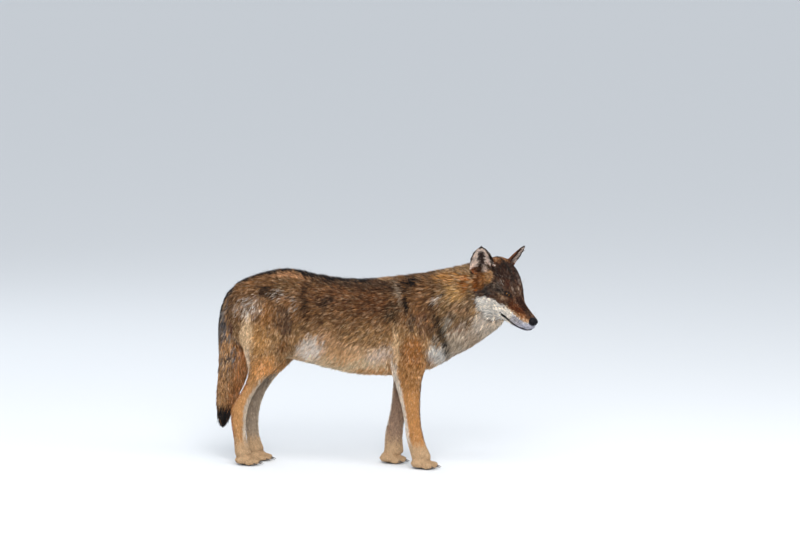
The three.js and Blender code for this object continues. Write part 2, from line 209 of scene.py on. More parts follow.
# The head, ears and feet keep the fine cells, and the rest is thinned, as the fur hides it.
HEAD_BACK = 285  # how far behind the nose the fine cells reach, in mm
HEAD_FROM = 0.3  # nothing behind this place along the body is on the head
FEET_TOP = 0.05  # the feet lie below this height
rows = spots(skin)
behind, aside, above = in_head(rows)
fine = (behind < HEAD_BACK) & (rows[:, 0] > HEAD_FROM) | (rows[:, 2] < FEET_TOP)
coarse = skin.vertex_groups.new(name="coarse")
coarse.add(np.nonzero(~fine)[0].tolist(), 1.0, "REPLACE")
finish_with(skin, "DECIMATE", ratio=THINNED, vertex_group="coarse")
skin.vertex_groups.clear()
finish_with(skin, "TRIANGULATE")

# The solids' flat faces are rounded away, and more so on the head, where little fur covers them.
rows, ends = spots(skin), edges_of(skin)
rows = evened(rows, ends, 4)
behind, aside, above = in_head(rows)
on_ear = rise(above, 78, 96) * rise(abs(aside), 38, 50)
on_face = rise(300 - behind, 0, 30) * rise(rows[:, 0], HEAD_FROM, 0.33) * (1 - on_ear) * rise(behind, 12, 30)
rows += (evened(rows, ends, 10) - rows) * on_face[:, None]
put(skin, rows)


def split(thing, chosen, cuts):
    """Splits the chosen triangles of a piece into smaller ones, and mends those beside them."""
    pick(thing)
    bpy.ops.object.mode_set(mode="EDIT")
    bpy.ops.mesh.select_mode(type="FACE")
    bpy.ops.mesh.select_all(action="DESELECT")
    bpy.ops.object.mode_set(mode="OBJECT")
    thing.data.polygons.foreach_set("select", chosen)
    bpy.ops.object.mode_set(mode="EDIT")
    bpy.ops.mesh.subdivide(number_cuts=cuts)
    bpy.ops.object.mode_set(mode="OBJECT")
    finish_with(thing, "TRIANGULATE")


def mouth_line(behind):
    """How far above the nose the parting of the lips runs, at each distance behind it."""
    return -37 - 10 * np.sin(np.pi * np.clip((behind - 10) / 118, 0, 1))


MOUTH_END = 127  # how far behind the nose the corner of the mouth lies, in mm
LID_AREA = 22 * MM  # how far round an eye's centre the lids' triangles are split
middles = spots(skin)[corners(skin)].mean(1)
behind, aside, above = in_head(middles)
split(skin, (behind < MOUTH_END + 12) & (abs(above - mouth_line(behind)) < 9), 1)
middles = spots(skin)[corners(skin)].mean(1)
near_eye = np.zeros(len(middles), bool)
for side in (1, -1):
    centre, out, corner, over = eye_frame(side)
    away = middles - np.array(centre)
    near_eye |= (np.linalg.norm(away, axis=1) < LID_AREA) & (away @ np.array(out) > 0)
split(skin, near_eye, 3)

# The crease behind the jaw, where the head's solids meet the neck's, is filled with loose skin.
outer, faces, ends = spots(skin), corners(skin), edges_of(skin)
behind, aside, above = in_head(outer)
under_jaw = rise(behind, 118, 150) * rise(230 - behind, 0, 40)
under_jaw = under_jaw * rise(-28 - above, 0, 30) * rise(above, -135, -105)
outer += (evened(outer, ends, 40) - outer) * under_jaw[:, None]
put(skin, outer)

# The toes: a groove between each two, a knuckle swelling on each, and a fuller end where its claw
# grows out. The claws say where the toes lie: toe_gap holds how far each vertex is from the two
# nearest toes' middle lines, and toe_back how far it is behind the nearest one's claw.
CLAWS = [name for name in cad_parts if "claw" in name]
NO_TOE = 1.0  # the distance given to what lies on no toe
KNUCKLE, TOE_END, TOE_GROOVE = 1.6, 3, 3.2  # how far each stands out or is cut in, in mm
outward = facing(outer, faces)
claw_roots = []
toe_gap = np.full((2, len(outer)), NO_TOE)
toe_back = np.zeros(len(outer))
for name in CLAWS:
    rows = spots(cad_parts[name])
    base, tip = rows[rows[:, 0].argmin()], rows[rows[:, 0].argmax()]
    aim = unit((tip - base) * (1, 1, 0))
    claw_roots.append((base, aim))
    back = (base - outer) @ aim
    off = np.linalg.norm((outer - base + np.outer(back, aim))[:, :2], axis=1)
    on_toe = (back > -30 * MM) & (back < 60 * MM) & (outer[:, 2] < FEET_TOP)
    off = np.where(on_toe, off, NO_TOE)
    toe_back = np.where(off < toe_gap[0], back, toe_back)
    toe_gap = np.sort(np.vstack([toe_gap, off]), axis=0)[:2]
between = hump(toe_gap[1] - toe_gap[0], 0, 5 * MM) * (toe_gap[1] < 0.03)
between *= rise(35 * MM - toe_back, 0, 15 * MM)
knuckle = hump(toe_gap[0], 0, 5 * MM) * hump(toe_back, 6 * MM, 14 * MM) * rise(outer[:, 2], 8 * MM, 16 * MM)
toe_end = hump(toe_gap[0], 0, 8 * MM) * hump(toe_back, -2 * MM, 10 * MM) * TOE_END
outer += outward * ((KNUCKLE * knuckle + toe_end - TOE_GROOVE * between) * MM)[:, None]
put(skin, outer)

# Which part of the body each vertex belongs to, blended over a hand's breadth.
GROUPS = {
    "head": ("head",), "jaw": ("lower_jaw",), "ear_right": ("ear_right",), "ear_left": ("ear_left",),
    "neck": ("neck",), "trunk": ("trunk",), "tail": ("tail", "tail_tip"),
    "shoulder": ("foreleg_right_upper", "foreleg_left_upper"),
    "foreleg": ("foreleg_right_lower", "foreleg_left_lower"),
    "forepaw": ("forepaw_right", "forepaw_left"),
    "thigh": ("hindleg_right_upper", "hindleg_left_upper"),
    "hindleg": ("hindleg_right_lower", "hindleg_left_lower"),
    "hindpaw": ("hindpaw_right", "hindpaw_left"),
}
order = list(GROUPS)
group_of = {name: order.index(group) for group, names in GROUPS.items() for name in names}
outer, faces, ends = spots(skin), corners(skin), edges_of(skin)
nearest = [solids.find_nearest(row)[2] for row in outer.tolist()]
raw = np.zeros((len(outer), len(order)))
raw[np.arange(len(outer)), [group_of[solid_node[face]] for face in nearest]] = 1
part_share = evened(raw, ends, 20)
share_of = {name: part_share[:, number] for number, name in enumerate(order)}
headness = share_of["head"] + share_of["jaw"]
outward = facing(outer, faces)

# The depth of the fur over each part, in mm. It is never more than a share of the flesh there. The
# hide is drawn in by that depth in small steps, each along the way it then faces.
FUR = {"head": 8, "jaw": 4, "ear_right": 1.6, "ear_left": 1.6, "neck": 34, "trunk": 28, "tail": 27,
       "shoulder": 15, "foreleg": 5, "forepaw": 2.6, "thigh": 17, "hindleg": 5.5, "hindpaw": 2.6}
MOST_OF_FLESH = 0.36  # the largest share of the way through the body that fur may take
STEPS = 12
depth = part_share @ np.array([FUR[name] for name in order])
behind, aside, above = in_head(outer)
aside = abs(aside)
face_fur = 2.2 + 3.5 * rise(behind, 110, 200) + 16 * rise(behind, 175, 265) * rise(60 - above, 20, 70)
depth += headness * (face_fur - depth)
body = BVHTree.FromPolygons(outer.tolist(), faces.tolist())
through = np.array([
    body.ray_cast((p - n * 0.5 * MM).tolist(), (-n).tolist())[3] or 1.0 for p, n in zip(outer, outward)
])
depth = np.minimum(depth, MOST_OF_FLESH * evened(through, ends, 3) / MM)
depth = evened(depth, ends, 12) * MM
soft = np.clip(depth / (20 * MM), 0, 1)[:, None] * 0.7
inner = outer.copy()
for _ in range(STEPS):
    inner -= facing(inner, faces) * (depth / STEPS)[:, None]
    sunk = inner - outer
    inner += (evened(sunk, ends, 2) - sunk) * soft

# The eyelids: half shut over the ball, a rounded margin, a crease above and a bag below. Each point
# near the eye is set at its own distance from the ball's centre, by how far it is from the opening.
LID = 1.3 * MM  # the lids' thickness at their margins
OPENING = 72  # half the angle between the corners, as seen from the ball's centre
UPPER, LOWER = 10, 16  # how far each lid is from the line between the corners, in degrees
lid_gap = np.full(len(outer), 90.0)
lid_away = np.zeros_like(outer)
for side in (1, -1):
    centre, out, corner, over = (np.array(v) for v in eye_frame(side))
    away = inner - centre
    far = np.linalg.norm(away, axis=1)
    front = (far < 30 * MM) & (away @ out > -2 * MM)
    round_it = np.degrees(np.arctan2(away @ corner, away @ out))
    up_it = np.degrees(np.arcsin(np.clip(away @ over / np.maximum(far, 1e-9), -1, 1)))
    span = np.clip(1 - (round_it / OPENING) ** 2, 0, 1)
    upper, lower = UPPER * span ** 0.6, -LOWER * span ** 0.8
    beyond = np.hypot(np.maximum(abs(round_it) - OPENING, 0), up_it)
    gap = np.where(abs(round_it) < OPENING, np.maximum(up_it - upper, lower - up_it), beyond)
    gap = np.where(front, gap + 5 * np.maximum(far / MM - EYE_RADIUS / MM - 2.5, 0), 90)
    rim = EYE_RADIUS - 2 * MM + (LID + 2 * MM) * rise(gap, -3, 3)
    crease = 0.9 * MM * hump(gap, 24, 9) * rise(up_it - upper, 0, 8)
    bag = 0.7 * MM * hump(gap, 20, 8) * rise(lower - up_it, 0, 8)
    wanted = rim - crease - bag
    blend = rise(gap, 8, 55)
    moved = centre + unit(away) * (wanted * (1 - blend) + far * blend)[:, None]
    chosen = front & (far < 26 * MM)
    fade = (1 - rise(far, 22 * MM, 26 * MM))[:, None]
    inner = np.where(chosen[:, None], inner + (moved - inner) * fade, inner)
    lid_away = np.where((gap < lid_gap)[:, None], away - np.outer(away @ out, out), lid_away)
    lid_gap = np.minimum(lid_gap, gap)

# The lips: a groove from under the nose to the mouth's corner, the upper lip rolled over it, the
# whisker pad swelling above, and the skin's folds at the flank, the elbow and the seat.
behind, aside, above = in_head(inner)
aside = abs(aside)
below = above - mouth_line(behind)
in_mouth = rise(MOUTH_END + 3 - behind, 0, 8) * rise(headness, 0.5, 0.9)
normal = facing(inner, faces)
groove = 3.4 * hump(below, 0, 2.6) - 1.5 * hump(below, 5, 5) - 0.8 * hump(below, -4, 4)
pad = 1.6 * hump(behind, 45, 34) * hump(above, -20, 18) * rise(aside, 6, 16)
inner += normal * ((pad - groove * in_mouth) * MM)[:, None]
FOLDS = (  # each fold's place and its two reaches, in mm, and its depth
    (-262, 470, 20, 120, 5),  # flank, before the thigh
    (88, 400, 16, 60, 4),  # elbow
    (-478, 420, 14, 45, 3),  # seat
)
for at, height, reach, tall, sunk in FOLDS:
    fold = hump(inner[:, 0] / MM, at, reach) * hump(inner[:, 2] / MM, height, tall) * sunk
    inner -= normal * (fold * MM * (1 - headness))[:, None]

# Where the hide is bare: the rims of the lids, the lips, under the nose pad and the soles.
NOSE_HALF = (14.7, 17.5, 14.7)  # the nose pad's half sizes ahead, aside and up, in mm
NOSE_PLACE = (11.2, 0, -7.7)  # its middle, in mm from the nose's tip
LID_COAT = 1.2  # how far the hair on the lids reaches from the skin, in mm
pad_away = np.stack([
    (behind - NOSE_PLACE[0]) / NOSE_HALF[0], aside / NOSE_HALF[1], (above - NOSE_PLACE[2]) / NOSE_HALF[2]
], 1)
bare = 1 - rise(lid_gap, 10, 14)
lip_reach = 2.0 + 2.6 * rise(behind, 50, 90)
lips = (1 - rise(abs(below + 0.4) / lip_reach, 1.0, 1.5)) * in_mouth
bare = np.maximum(bare, np.clip(lips, 0, 1))
bare = np.maximum(bare, 1 - rise(np.linalg.norm(pad_away, axis=1), 0.96, 1.04))
bare = np.maximum(bare, rise(-outward[:, 2], 0.5, 0.8) * rise(8 * MM - outer[:, 2], 0, 3 * MM))
off_lids = rise(lid_gap, 20, 60)[:, None]
outer = inner + (outer - inner) * off_lids + normal * (1 - off_lids) * LID_COAT * MM
outward = unit(facing(outer, faces))
put(skin, inner)
skin.data.polygons.foreach_set("use_smooth", np.ones(len(skin.data.polygons), bool))

# ---------------------------------------------------------------- markings
# The coat's colours: black-tipped brown over the back, tawny sides and legs, a cream underside,
# a dark strap from the withers to the chest, and a grey and rust mask over white cheeks. The hide
# and the hair on it are dyed by the same function.
AZIMUTH, ELEVATION = math.radians(8), math.radians(6)  # where the markings are seen square from the side


def linear(code):
    """A colour given as sRGB hex, as linear light."""
    parts = [int(code[i:i + 2], 16) / 255 for i in (1, 3, 5)]
    return np.array([c / 12.92 if c <= 0.04045 else ((c + 0.055) / 1.055) ** 2.4 for c in parts])


def clouds(rows, size, seed=0):
    """Smooth noise from 0 to 1 whose cells are size across."""
    place = np.asarray(rows) / size + 100.0
    cell = np.floor(place).astype(np.int64)
    part = place - cell
    part = part * part * (3 - 2 * part)
    total = 0
    for corner in np.ndindex(2, 2, 2):
        c = cell + corner
        mixed = (c[:, 0] * 73856093) ^ (c[:, 1] * 19349663) ^ (c[:, 2] * 83492791) ^ (seed * 2654435761)
        mixed = (mixed ^ (mixed >> 13)) * 1274126177 & 0xFFFFFFFF
        value = ((mixed ^ (mixed >> 16)) & 0xFFFF) / 0xFFFF
        weight = np.prod(np.where(np.array(corner) == 1, part, 1 - part), axis=1)
        total = total + value * weight
    return total


def blot(along, up, spot, rough):
    """How far a marking covers each point: 1 in its middle, 0 outside, with a ragged edge."""
    at, height, reach, width, turn = spot
    c, s = math.cos(math.radians(turn)), math.sin(math.radians(turn))
    u, v = along - at, up - height
    far = np.hypot((u * c + v * s) / reach, (v * c - u * s) / width) + (rough - 0.5) * 0.6
    return 1 - rise(far, 0.45, 1.3)


# Each marking on the body as seen square from the side, in mm: its place along the body and up,
# its two reaches, its turn in degrees, the colour of its hair and of the hair's tips, and its strength.
BODY_MARKS = (
    (-60, 642, 230, 32, -6, "#5a3f2d", "#1d1511", 0.85),  # saddle
    (-110, 585, 160, 42, -8, "#8a5a38", "#432a1c", 0.75),  # reddish flank
    (-5, 580, 80, 45, 0, "#7d502f", "#3b2719", 0.7),  # flank behind the ribs' top
    (-172, 577, 36, 28, 0, "#4c3527", "#1b1411", 0.7),  # dusky cloud on the flank
    (-250, 575, 17, 80, 0, "#4f3625", "#1e1612", 0.75),  # painted shade in the crease before the thigh
    (-228, 415, 56, 46, 20, "#f7ede3", "#f3e1d4", 0.85),  # fold of the flank
    (-170, 448, 60, 34, -30, "#d7a475", "#9c704a", 0.65),  # tan flank before it
    (-130, 390, 70, 40, 0, "#deaa74", "#bb8752", 0.6),  # tawny belly side
    (-10, 335, 90, 15, -3, "#dda061", "#c3874e", 0.7),  # rim of the belly
    (15, 392, 60, 32, 15, "#ead4c3", "#d6bba3", 0.8),  # behind the elbow
    (30, 658, 26, 8, 5, "#b98c60", "#967049", 0.7),  # pale top behind the withers
    (76, 612, 12, 50, 10, "#a8937d", "#7c6a58", 0.7),  # pale band behind the withers
    (55, 540, 30, 40, 0, "#55432f", "#241c16", 0.7),  # dusk behind the shoulder
    (102, 578, 11, 46, 4, "#1f1916", "#0b0909", 0.95),  # black band down from the withers
    (124, 651, 34, 24, -10, "#1d1718", "#080708", 0.8),  # withers
    (122, 505, 14, 38, 0, "#5b4a3d", "#2a211b", 0.65),  # foot of the black band
    (155, 585, 34, 52, -8, "#9e6e46", "#5b3c27", 0.75),  # rusty shoulder
    (165, 500, 32, 48, 0, "#825a42", "#493024", 0.65),  # brown shoulder
    (125, 400, 46, 62, 0, "#c07d41", "#9f602a", 0.85),  # orange upper foreleg
    (68, 420, 11, 78, 3, "#f7d5a8", "#e7af78", 0.8),  # its pale rear edge
    (105, 346, 18, 9, 0, "#95562a", "#6f3e1c", 0.65),  # rust darkened as painted shade in the crease at the elbow
    (198, 430, 13, 38, -20, "#d3c6b5", "#64503e", 0.65),  # streaked edge of the chest
    (215, 392, 42, 36, 0, "#f4f0ea", "#f0eae1", 1.0),  # chest
    (215, 592, 13, 18, -55, "#e8e0d6", "#c9bcab", 0.4),  # fleck at the neck's base
    (229, 603, 7, 17, -60, "#1d1816", "#0c0a0a", 0.8),  # dark strands beside it
    (258, 660, 55, 22, 12, "#d99a54", "#84552f", 0.8),  # nape
    (215, 642, 30, 25, 0, "#8f6641", "#4e3520", 0.75),  # brown side of the neck
    (280, 612, 27, 38, 50, "#d6a768", "#b88448", 0.85),  # ochre side of the neck
    (312, 640, 13, 38, 0, "#bb6c27", "#92521a", 0.85),  # orange behind the ear
    (285, 560, 38, 25, 20, "#b18866", "#8e6742", 0.7),  # tan ruff
    (262, 535, 22, 18, 0, "#79644f", "#4d3d31", 0.7),  # dusky ruff
    (245, 500, 13, 36, -15, "#bbb0a0", "#91826f", 0.7),  # pale edge beside the strap
    (290, 495, 30, 35, 0, "#997964", "#765639", 0.65),  # brown ruff
    (325, 545, 15, 60, 0, "#907155", "#664831", 0.65),  # ruff behind the cheek
    (335, 455, 40, 32, 0, "#c3ab93", "#aa8e73", 0.8),  # throat
    (368, 508, 30, 22, 35, "#f2e6da", "#dfcebf", 0.8),  # white throat behind the jaw
    (372, 514, 34, 34, 0, "#dac9b8", "#c9b7a3", 0.9),  # cream behind the jaw
    (275, 440, 30, 36, 0, "#c8b49c", "#a68e74", 0.75),  # pale ruff over the chest
    (-320, 672, 80, 20, -8, "#d89d6d", "#7d5337", 0.75),  # croup
    (-430, 642, 80, 26, 25, "#a06f44", "#543722", 0.8),  # rump
    (-380, 612, 50, 20, -10, "#4b3628", "#1e1713", 0.8),  # dusk above the hip
    (-310, 640, 46, 28, 0, "#92704c", "#503a28", 0.55),  # loin
    (-448, 556, 52, 42, 10, "#b08b6b", "#8a6a4e", 0.8),  # hip
    (-448, 556, 56, 46, 10, "#f1ece5", "#f1ece5", 0.24),  # frost on the hip
    (-345, 602, 38, 24, 0, "#e4ddd4", "#e4ddd4", 0.12),  # frost on the loin
    (-290, 560, 20, 40, 0, "#e4ddd4", "#e4ddd4", 0.16),  # frost on the front of the thigh
    (-385, 540, 26, 42, 0, "#ba814a", "#925c2e", 0.85),  # ochre hip
    (-320, 510, 34, 60, 0, "#735540", "#3f2d23", 0.7),  # front of the thigh
    (-415, 440, 46, 60, 10, "#daa363", "#ad763f", 0.8),  # middle of the thigh
    (-456, 446, 24, 84, -4, "#f3d2a8", "#e0bc8e", 1.0),  # rear of the thigh
    (-325, 425, 22, 40, -25, "#8f6038", "#5a3a20", 0.7),  # dark front edge of the thigh
    (-390, 340, 50, 50, 0, "#f7b16a", "#d99450", 0.85),  # lower thigh
    (-455, 360, 13, 72, -5, "#f5dbc0", "#eacca7", 0.85),  # pale rear edge
    (-512, 490, 12, 24, 0, "#6f4034", "#452620", 0.8),  # painted shade under the tail's root, dark red
    (228, 480, 92, 14, -71, "#2e2620", "#120e0c", 0.9),  # strap
)
# Each marking of the head, in mm: behind the nose, from the midline, above the nose, its three
# reaches, the colour of its hair and of its tips, and its strength.
HEAD_MARKS = (
    (195, 20, 100, 75, 55, 42, "#351c10", "#140a06", 1.0),  # forehead
    (70, 6, 26, 62, 10, 18, "#37180b", "#1c0a04", 1.0),  # bridge of the muzzle
    (75, 27, 9, 54, 15, 16, "#6d3614", "#4c220c", 1.0),  # rusty side of the muzzle
    (42, 18, -2, 30, 14, 9, "#9c6238", "#7b4824", 0.85),  # orange over the lip near the nose
    (118, 33, 24, 28, 16, 14, "#532c13", "#361b0b", 0.9),  # rusty corner before the eye
    (165, 62, 46, 30, 22, 20, "#56483f", "#29221e", 0.9),  # behind the eye
    (203, 74, 18, 28, 18, 17, "#4e443e", "#26201e", 0.9),  # grey streak down the cheek
    (237, 92, -12, 25, 24, 24, "#524843", "#2a2422", 0.85),  # its foot
    (134, 48, 17, 27, 18, 12, "#6b4934", "#503325", 0.95),  # tan patch below the eye
    (126, 44, 6, 30, 14, 5, "#553826", "#38241c", 0.7),  # its dark lower edge
    (154, 27, 69, 20, 14, 10, "#512916", "#2a140c", 0.9),  # rusty brow
    (130, 13, 50, 18, 5, 14, "#7d6657", "#6f5849", 0.7),  # pale inner corner of the brow
    (120, 20, 30, 14, 7, 10, "#724a33", "#533320", 0.6),  # below it
    (165, -34, 72, 22, 18, 22, "#665753", "#403632", 0.6),  # painted sheen that greys the far side of the brow
    (215, 66, 62, 22, 24, 26, "#bd8850", "#8f5f36", 0.95),  # before and under the ear
    (240, 76, 34, 26, 24, 30, "#b6763c", "#8c5325", 0.95),  # below the ear
    (262, 86, 14, 30, 30, 44, "#a35c23", "#7d421b", 0.9),  # behind the ear
    (185, 40, 80, 70, 50, 60, "#7d736e", "#8c827c", 0.08),  # grey flecks over brow and temple
    (262, 20, 118, 36, 60, 28, "#a0673a", "#6b442a", 0.9),  # between the ears
    (251, 62, 76, 15, 12, 12, "#dfc7b8", "#c7ad9e", 0.9),  # pale hair at the ear's foot
    (136, 14, 57, 9, 5, 8, "#ad9685", "#8d7869", 0.75),  # pale spot over the inner corner
    (143, 51, 23, 17, 13, 8, "#957256", "#765741", 0.9),  # palest part of the tan patch
    (159, 55, 39, 13, 12, 4, "#1d1411", "#110c0a", 1.0),  # dark line behind the eye
    (143, 46, 31, 14, 12, 3, "#2c1d17", "#1a120e", 0.8),  # dark edge under the lower lid
    (119, 27, 33, 10, 12, 3.2, "#1d1411", "#110c0a", 1.0),  # dark tear line before it
)
# The upper edge of the white on the lips and cheeks, in mm behind the nose and above it.
WHITE_EDGE_AT = (0, 36, 91, 126, 166, 202, 225, 245)
WHITE_EDGE_HEIGHT = (-7, -11, -9, -1, 3, -4, -26, -52)
# How each ear is held, in degrees: its lean outwards, its tip forward and its cup's turn outwards.
HELD = {1: (22, 0, 45), -1: (5, 14, 25)}
EAR_HEIGHT, EAR_HALF = 109 * MM, 45 * MM
EAR_BEHIND, EAR_ASIDE, EAR_ABOVE = 252, 64.4, 63  # the middle of its root, in mm from the nose


def ear_frame(side):
    """An ear's root, the way up it, the way its cup faces, and the way across it."""
    lean, tip, turn = (math.radians(degrees) for degrees in HELD[side])
    outside = ASIDE * side
    axis = (CROWN + outside * math.tan(lean) + AHEAD * math.tan(tip)).normalized()
    cup = AHEAD * math.cos(turn) + outside * math.sin(turn)
    cup = (cup - axis * cup.dot(axis)).normalized()
    return from_head(EAR_BEHIND, side * EAR_ASIDE, EAR_ABOVE), axis, cup, axis.cross(cup)


def in_ear(rows, side):
    """Shares of the way up and across an ear."""
    root, axis, cup, across = (np.array(v) for v in ear_frame(side))
    away = rows - root
    return away @ axis / EAR_HEIGHT, away @ across / EAR_HALF


class Dye:
    """The colours of the hair and of its tips at points of the coat, dyed one marking over another.

    Each point has shares of the body's parts. With luck, a number from 0 to 1 for each point, a
    marking of half its strength dyes half of the locks.
    """

    def __init__(self, rows, normals, shares, luck):
        self.rows, self.normals, self.luck, self.turn = rows, normals, luck, 0
        self.part = {name: shares[:, number] for number, name in enumerate(order)}
        self.hair = np.tile(linear("#9b6d45"), (len(rows), 1))
        self.tips = np.tile(linear("#4a3323"), (len(rows), 1))
        # the place along the body and up, as seen square from the side, with the left side mirrored
        mirrored = MIDLINE - abs(rows[:, 1] - MIDLINE)
        across = mirrored * math.cos(AZIMUTH) - rows[:, 0] * math.sin(AZIMUTH)
        self.up = (rows[:, 2] * math.cos(ELEVATION) + across * math.sin(ELEVATION)) / MM
        self.along = (rows[:, 0] * math.cos(AZIMUTH) + mirrored * math.sin(AZIMUTH)) / MM
        # which way the coat faces
        self.ahead, self.down = normals[:, 0], -normals[:, 2]
        self.outside = normals[:, 1] * np.sign(rows[:, 1] - MIDLINE)
        # noise that makes the markings' edges uneven
        self.rough = 0.6 * clouds(rows, 30 * MM, 1) + 0.4 * clouds(rows, 11 * MM, 2)
        self.ragged = (self.rough - 0.5) * 60
        self.speck = clouds(rows, 7 * MM, 5) - 0.5

    def paint(self, cover, ground, end, soft=0.2):
        """Dyes the hair and its tips by cover. The softer it is, the more the locks share a mixed colour."""
        cover = np.clip(cover, 0, 1)
        if self.luck is not None:
            self.turn += 0.618
            dice = (self.luck + self.turn) % 1
            cover = np.clip((cover - dice) / soft + 0.5, 0, 1) * rise(cover, 0, 0.1)
        self.hair = self.hair + (linear(ground) - self.hair) * cover[:, None]
        self.tips = self.tips + (linear(end) - self.tips) * cover[:, None]


BROKEN_ABOVE = 480  # the markings break into locks above this height in mm, and blend below it


def dye_body(dye):
    """Tawny over brown, cream below, the markings of each side, and a black line along the spine."""
    paint, part, up, along = dye.paint, dye.part, dye.up, dye.along
    paint(rise(500 - up + dye.ragged, -25, 45), "#b98d5d", "#775536", 0.5)
    paint(rise(425 - up + dye.ragged, -25, 40) * part["trunk"], "#f7ca9c", "#dcab7b", 0.7)
    paint(rise(dye.down, 0.25, 0.8) * part["trunk"], "#efd7b2", "#e2c397")
    paint(part["neck"] * rise(along, 195, 245), "#ae865a", "#70563a")
    paint(part["neck"] * rise(dye.down, 0.1, 0.6), "#dccab6", "#cab79f")
    for *spot, ground, end, strength in BODY_MARKS:
        soft = 0.25 if spot[1] > BROKEN_ABOVE else 0.7
        paint(blot(along, up, spot, dye.rough) * strength, ground, end, soft)
    spine = 1 - rise(abs(dye.rows[:, 1] - MIDLINE) / MM + (dye.rough - 0.5) * 36, 16, 42)
    spine *= rise(-dye.down, -0.3, 0.2) * rise(10 - along, 0, 50) * (1 - part["tail"])
    paint(spine, "#211c1b", "#0e0c0d")


def dye_legs(dye):
    """Tawny outside, pale inside and behind, with painted shade darkening the forelegs' inside, and a dusky
    line down their front.
    """
    paint, part, up, ahead, outside = dye.paint, dye.part, dye.up, dye.ahead, dye.outside
    fore = part["foreleg"] + part["forepaw"] + part["shoulder"] * rise(400 - up, 0, 80)
    paint(fore, "#cf9458", "#b67a3f")
    # the forelegs' inside, greyer and darker as painted shade for the far foreleg under the body
    paint(fore * rise(0.25 - outside, 0, 0.5), "#a68873", "#967761")
    paint(fore * rise(-ahead, 0.25, 0.75) * rise(outside, -0.7, -0.2), "#f4e7d8", "#e6d4bf", 0.6)
    line = fore * rise(ahead, 0.85, 0.98) * rise(outside, -0.4, 0) * rise(up, 90, 140) * 0.6
    paint(line, "#6b5342", "#3a2c24")
    hind = part["hindleg"] + part["hindpaw"] + part["thigh"] * rise(340 - up, 0, 60)
    paint(hind, "#d59f66", "#c48850")
    paint(hind * rise(-ahead, 0.3, 0.9) * rise(outside, -0.6, 0.0), "#c07a3e", "#a8652f")
    paint(hind * rise(ahead, 0.35, 0.8), "#decdb8", "#d2bda3")
    paint(hind * rise(-outside, 0, 0.5), "#b3a08c", "#9c8973")
    paint(part["forepaw"] + part["hindpaw"], "#d0ae88", "#be986d")


def dye_tail(dye):
    """Grizzled outside, orange beside the leg, black above its root and at its end."""
    paint, tail, up = dye.paint, dye.part["tail"], dye.up
    paint(tail, "#cf9a66", "#7d5a3f")
    paint(tail * rise(dye.rough, 0.25, 0.6) * rise(up, 300, 460), "#7b7473", "#393536")
    paint(tail * rise(dye.ahead, -0.1, 0.6), "#d9925a", "#a5703f")
    root = tail * rise(up, 470, 560) * rise(-dye.ahead - 0.5 * abs(dye.outside), 0.2, 0.7)
    paint(root, "#2c2523", "#151110")
    paint(tail * rise(222 - up + 0.4 * dye.ragged, -9, 12), "#1f1a1b", "#100d0e")


def dye_head(dye):
    """A grey and rust mask, white lips and cheeks, black lips and lids, and a dark line up the brow."""
    paint, part, speck = dye.paint, dye.part, dye.speck
    behind, one_side, above = in_head(dye.rows)
    aside = abs(one_side)
    head = np.clip(part["head"] + part["jaw"] + part["ear_right"] + part["ear_left"], 0, 1)
    paint(head, "#5e4030", "#2f2019")
    for x, y, z, a, b, c, ground, end, strength in HEAD_MARKS:
        across = one_side if y < 0 else aside
        far = np.sqrt(((behind - x) / a) ** 2 + ((across - y) / b) ** 2 + ((above - z) / c) ** 2)
        cover = head * (1 - rise(far + speck * 0.5, 0.65, 1.2)) * strength
        paint(cover, ground, end, 0.6 if strength > 0.3 else 0.1)
    # the white of the lips and cheeks, tan along its edge on the muzzle and greyer near the nose
    edge = np.interp(behind, WHITE_EDGE_AT, WHITE_EDGE_HEIGHT) + speck * 10
    edge = edge + (clouds(dye.rows, 17 * MM, 6) - 0.5) * 11 * rise(behind, 90, 150)
    paint(head * rise(edge + 9 - above, 0, 6) * rise(125 - behind, 0, 40), "#c49a72", "#b0835c")
    paint(head * rise(edge - above, -2, 5), "#ebe5dc", "#e2dacf")
    paint(head * rise(edge - above, 0, 8) * rise(95 - behind, 0, 30), "#b9bac9", "#a6a6b6")
    # the black line of the lips, broader towards the mouth's corner
    lip_edge = head * rise(MOUTH_END + 8 - behind, 0, 10) * rise(behind, 5, 20)
    broad = rise(behind, 50, 90)
    off_lips = rise(abs(above - mouth_line(behind) - 0.5), 2 + 3 * broad, 4.5 + 4 * broad)
    paint(lip_edge * (1 - off_lips), "#1b1413", "#120d0c")
    # dark spots where the whiskers grow
    for row in range(3):
        for spot in range(4):
            far = np.hypot(behind - 34 - 9 * spot - 3 * row, above + 14 + 7 * row)
            paint(head * (1 - rise(far, 1.2, 2.4)), "#4a3f42", "#352d30")
    brow_line = head * (1 - rise(aside, 2, 7)) * rise(behind, 140, 165) * rise(above, 50, 70)
    paint(brow_line, "#2f2520", "#16110f")
    for side in (1, -1):
        centre, out, corner, over = (np.array(v) for v in eye_frame(side))
        away = dye.rows - centre
        far = np.hypot(away @ corner / (17 * MM), away @ over / (9 * MM))
        round_eye = head * (1 - rise(far, 0.75, 1.1)) * rise(away @ out, 0, 4 * MM)
        paint(round_eye, "#231812", "#150e0b", 0.6)


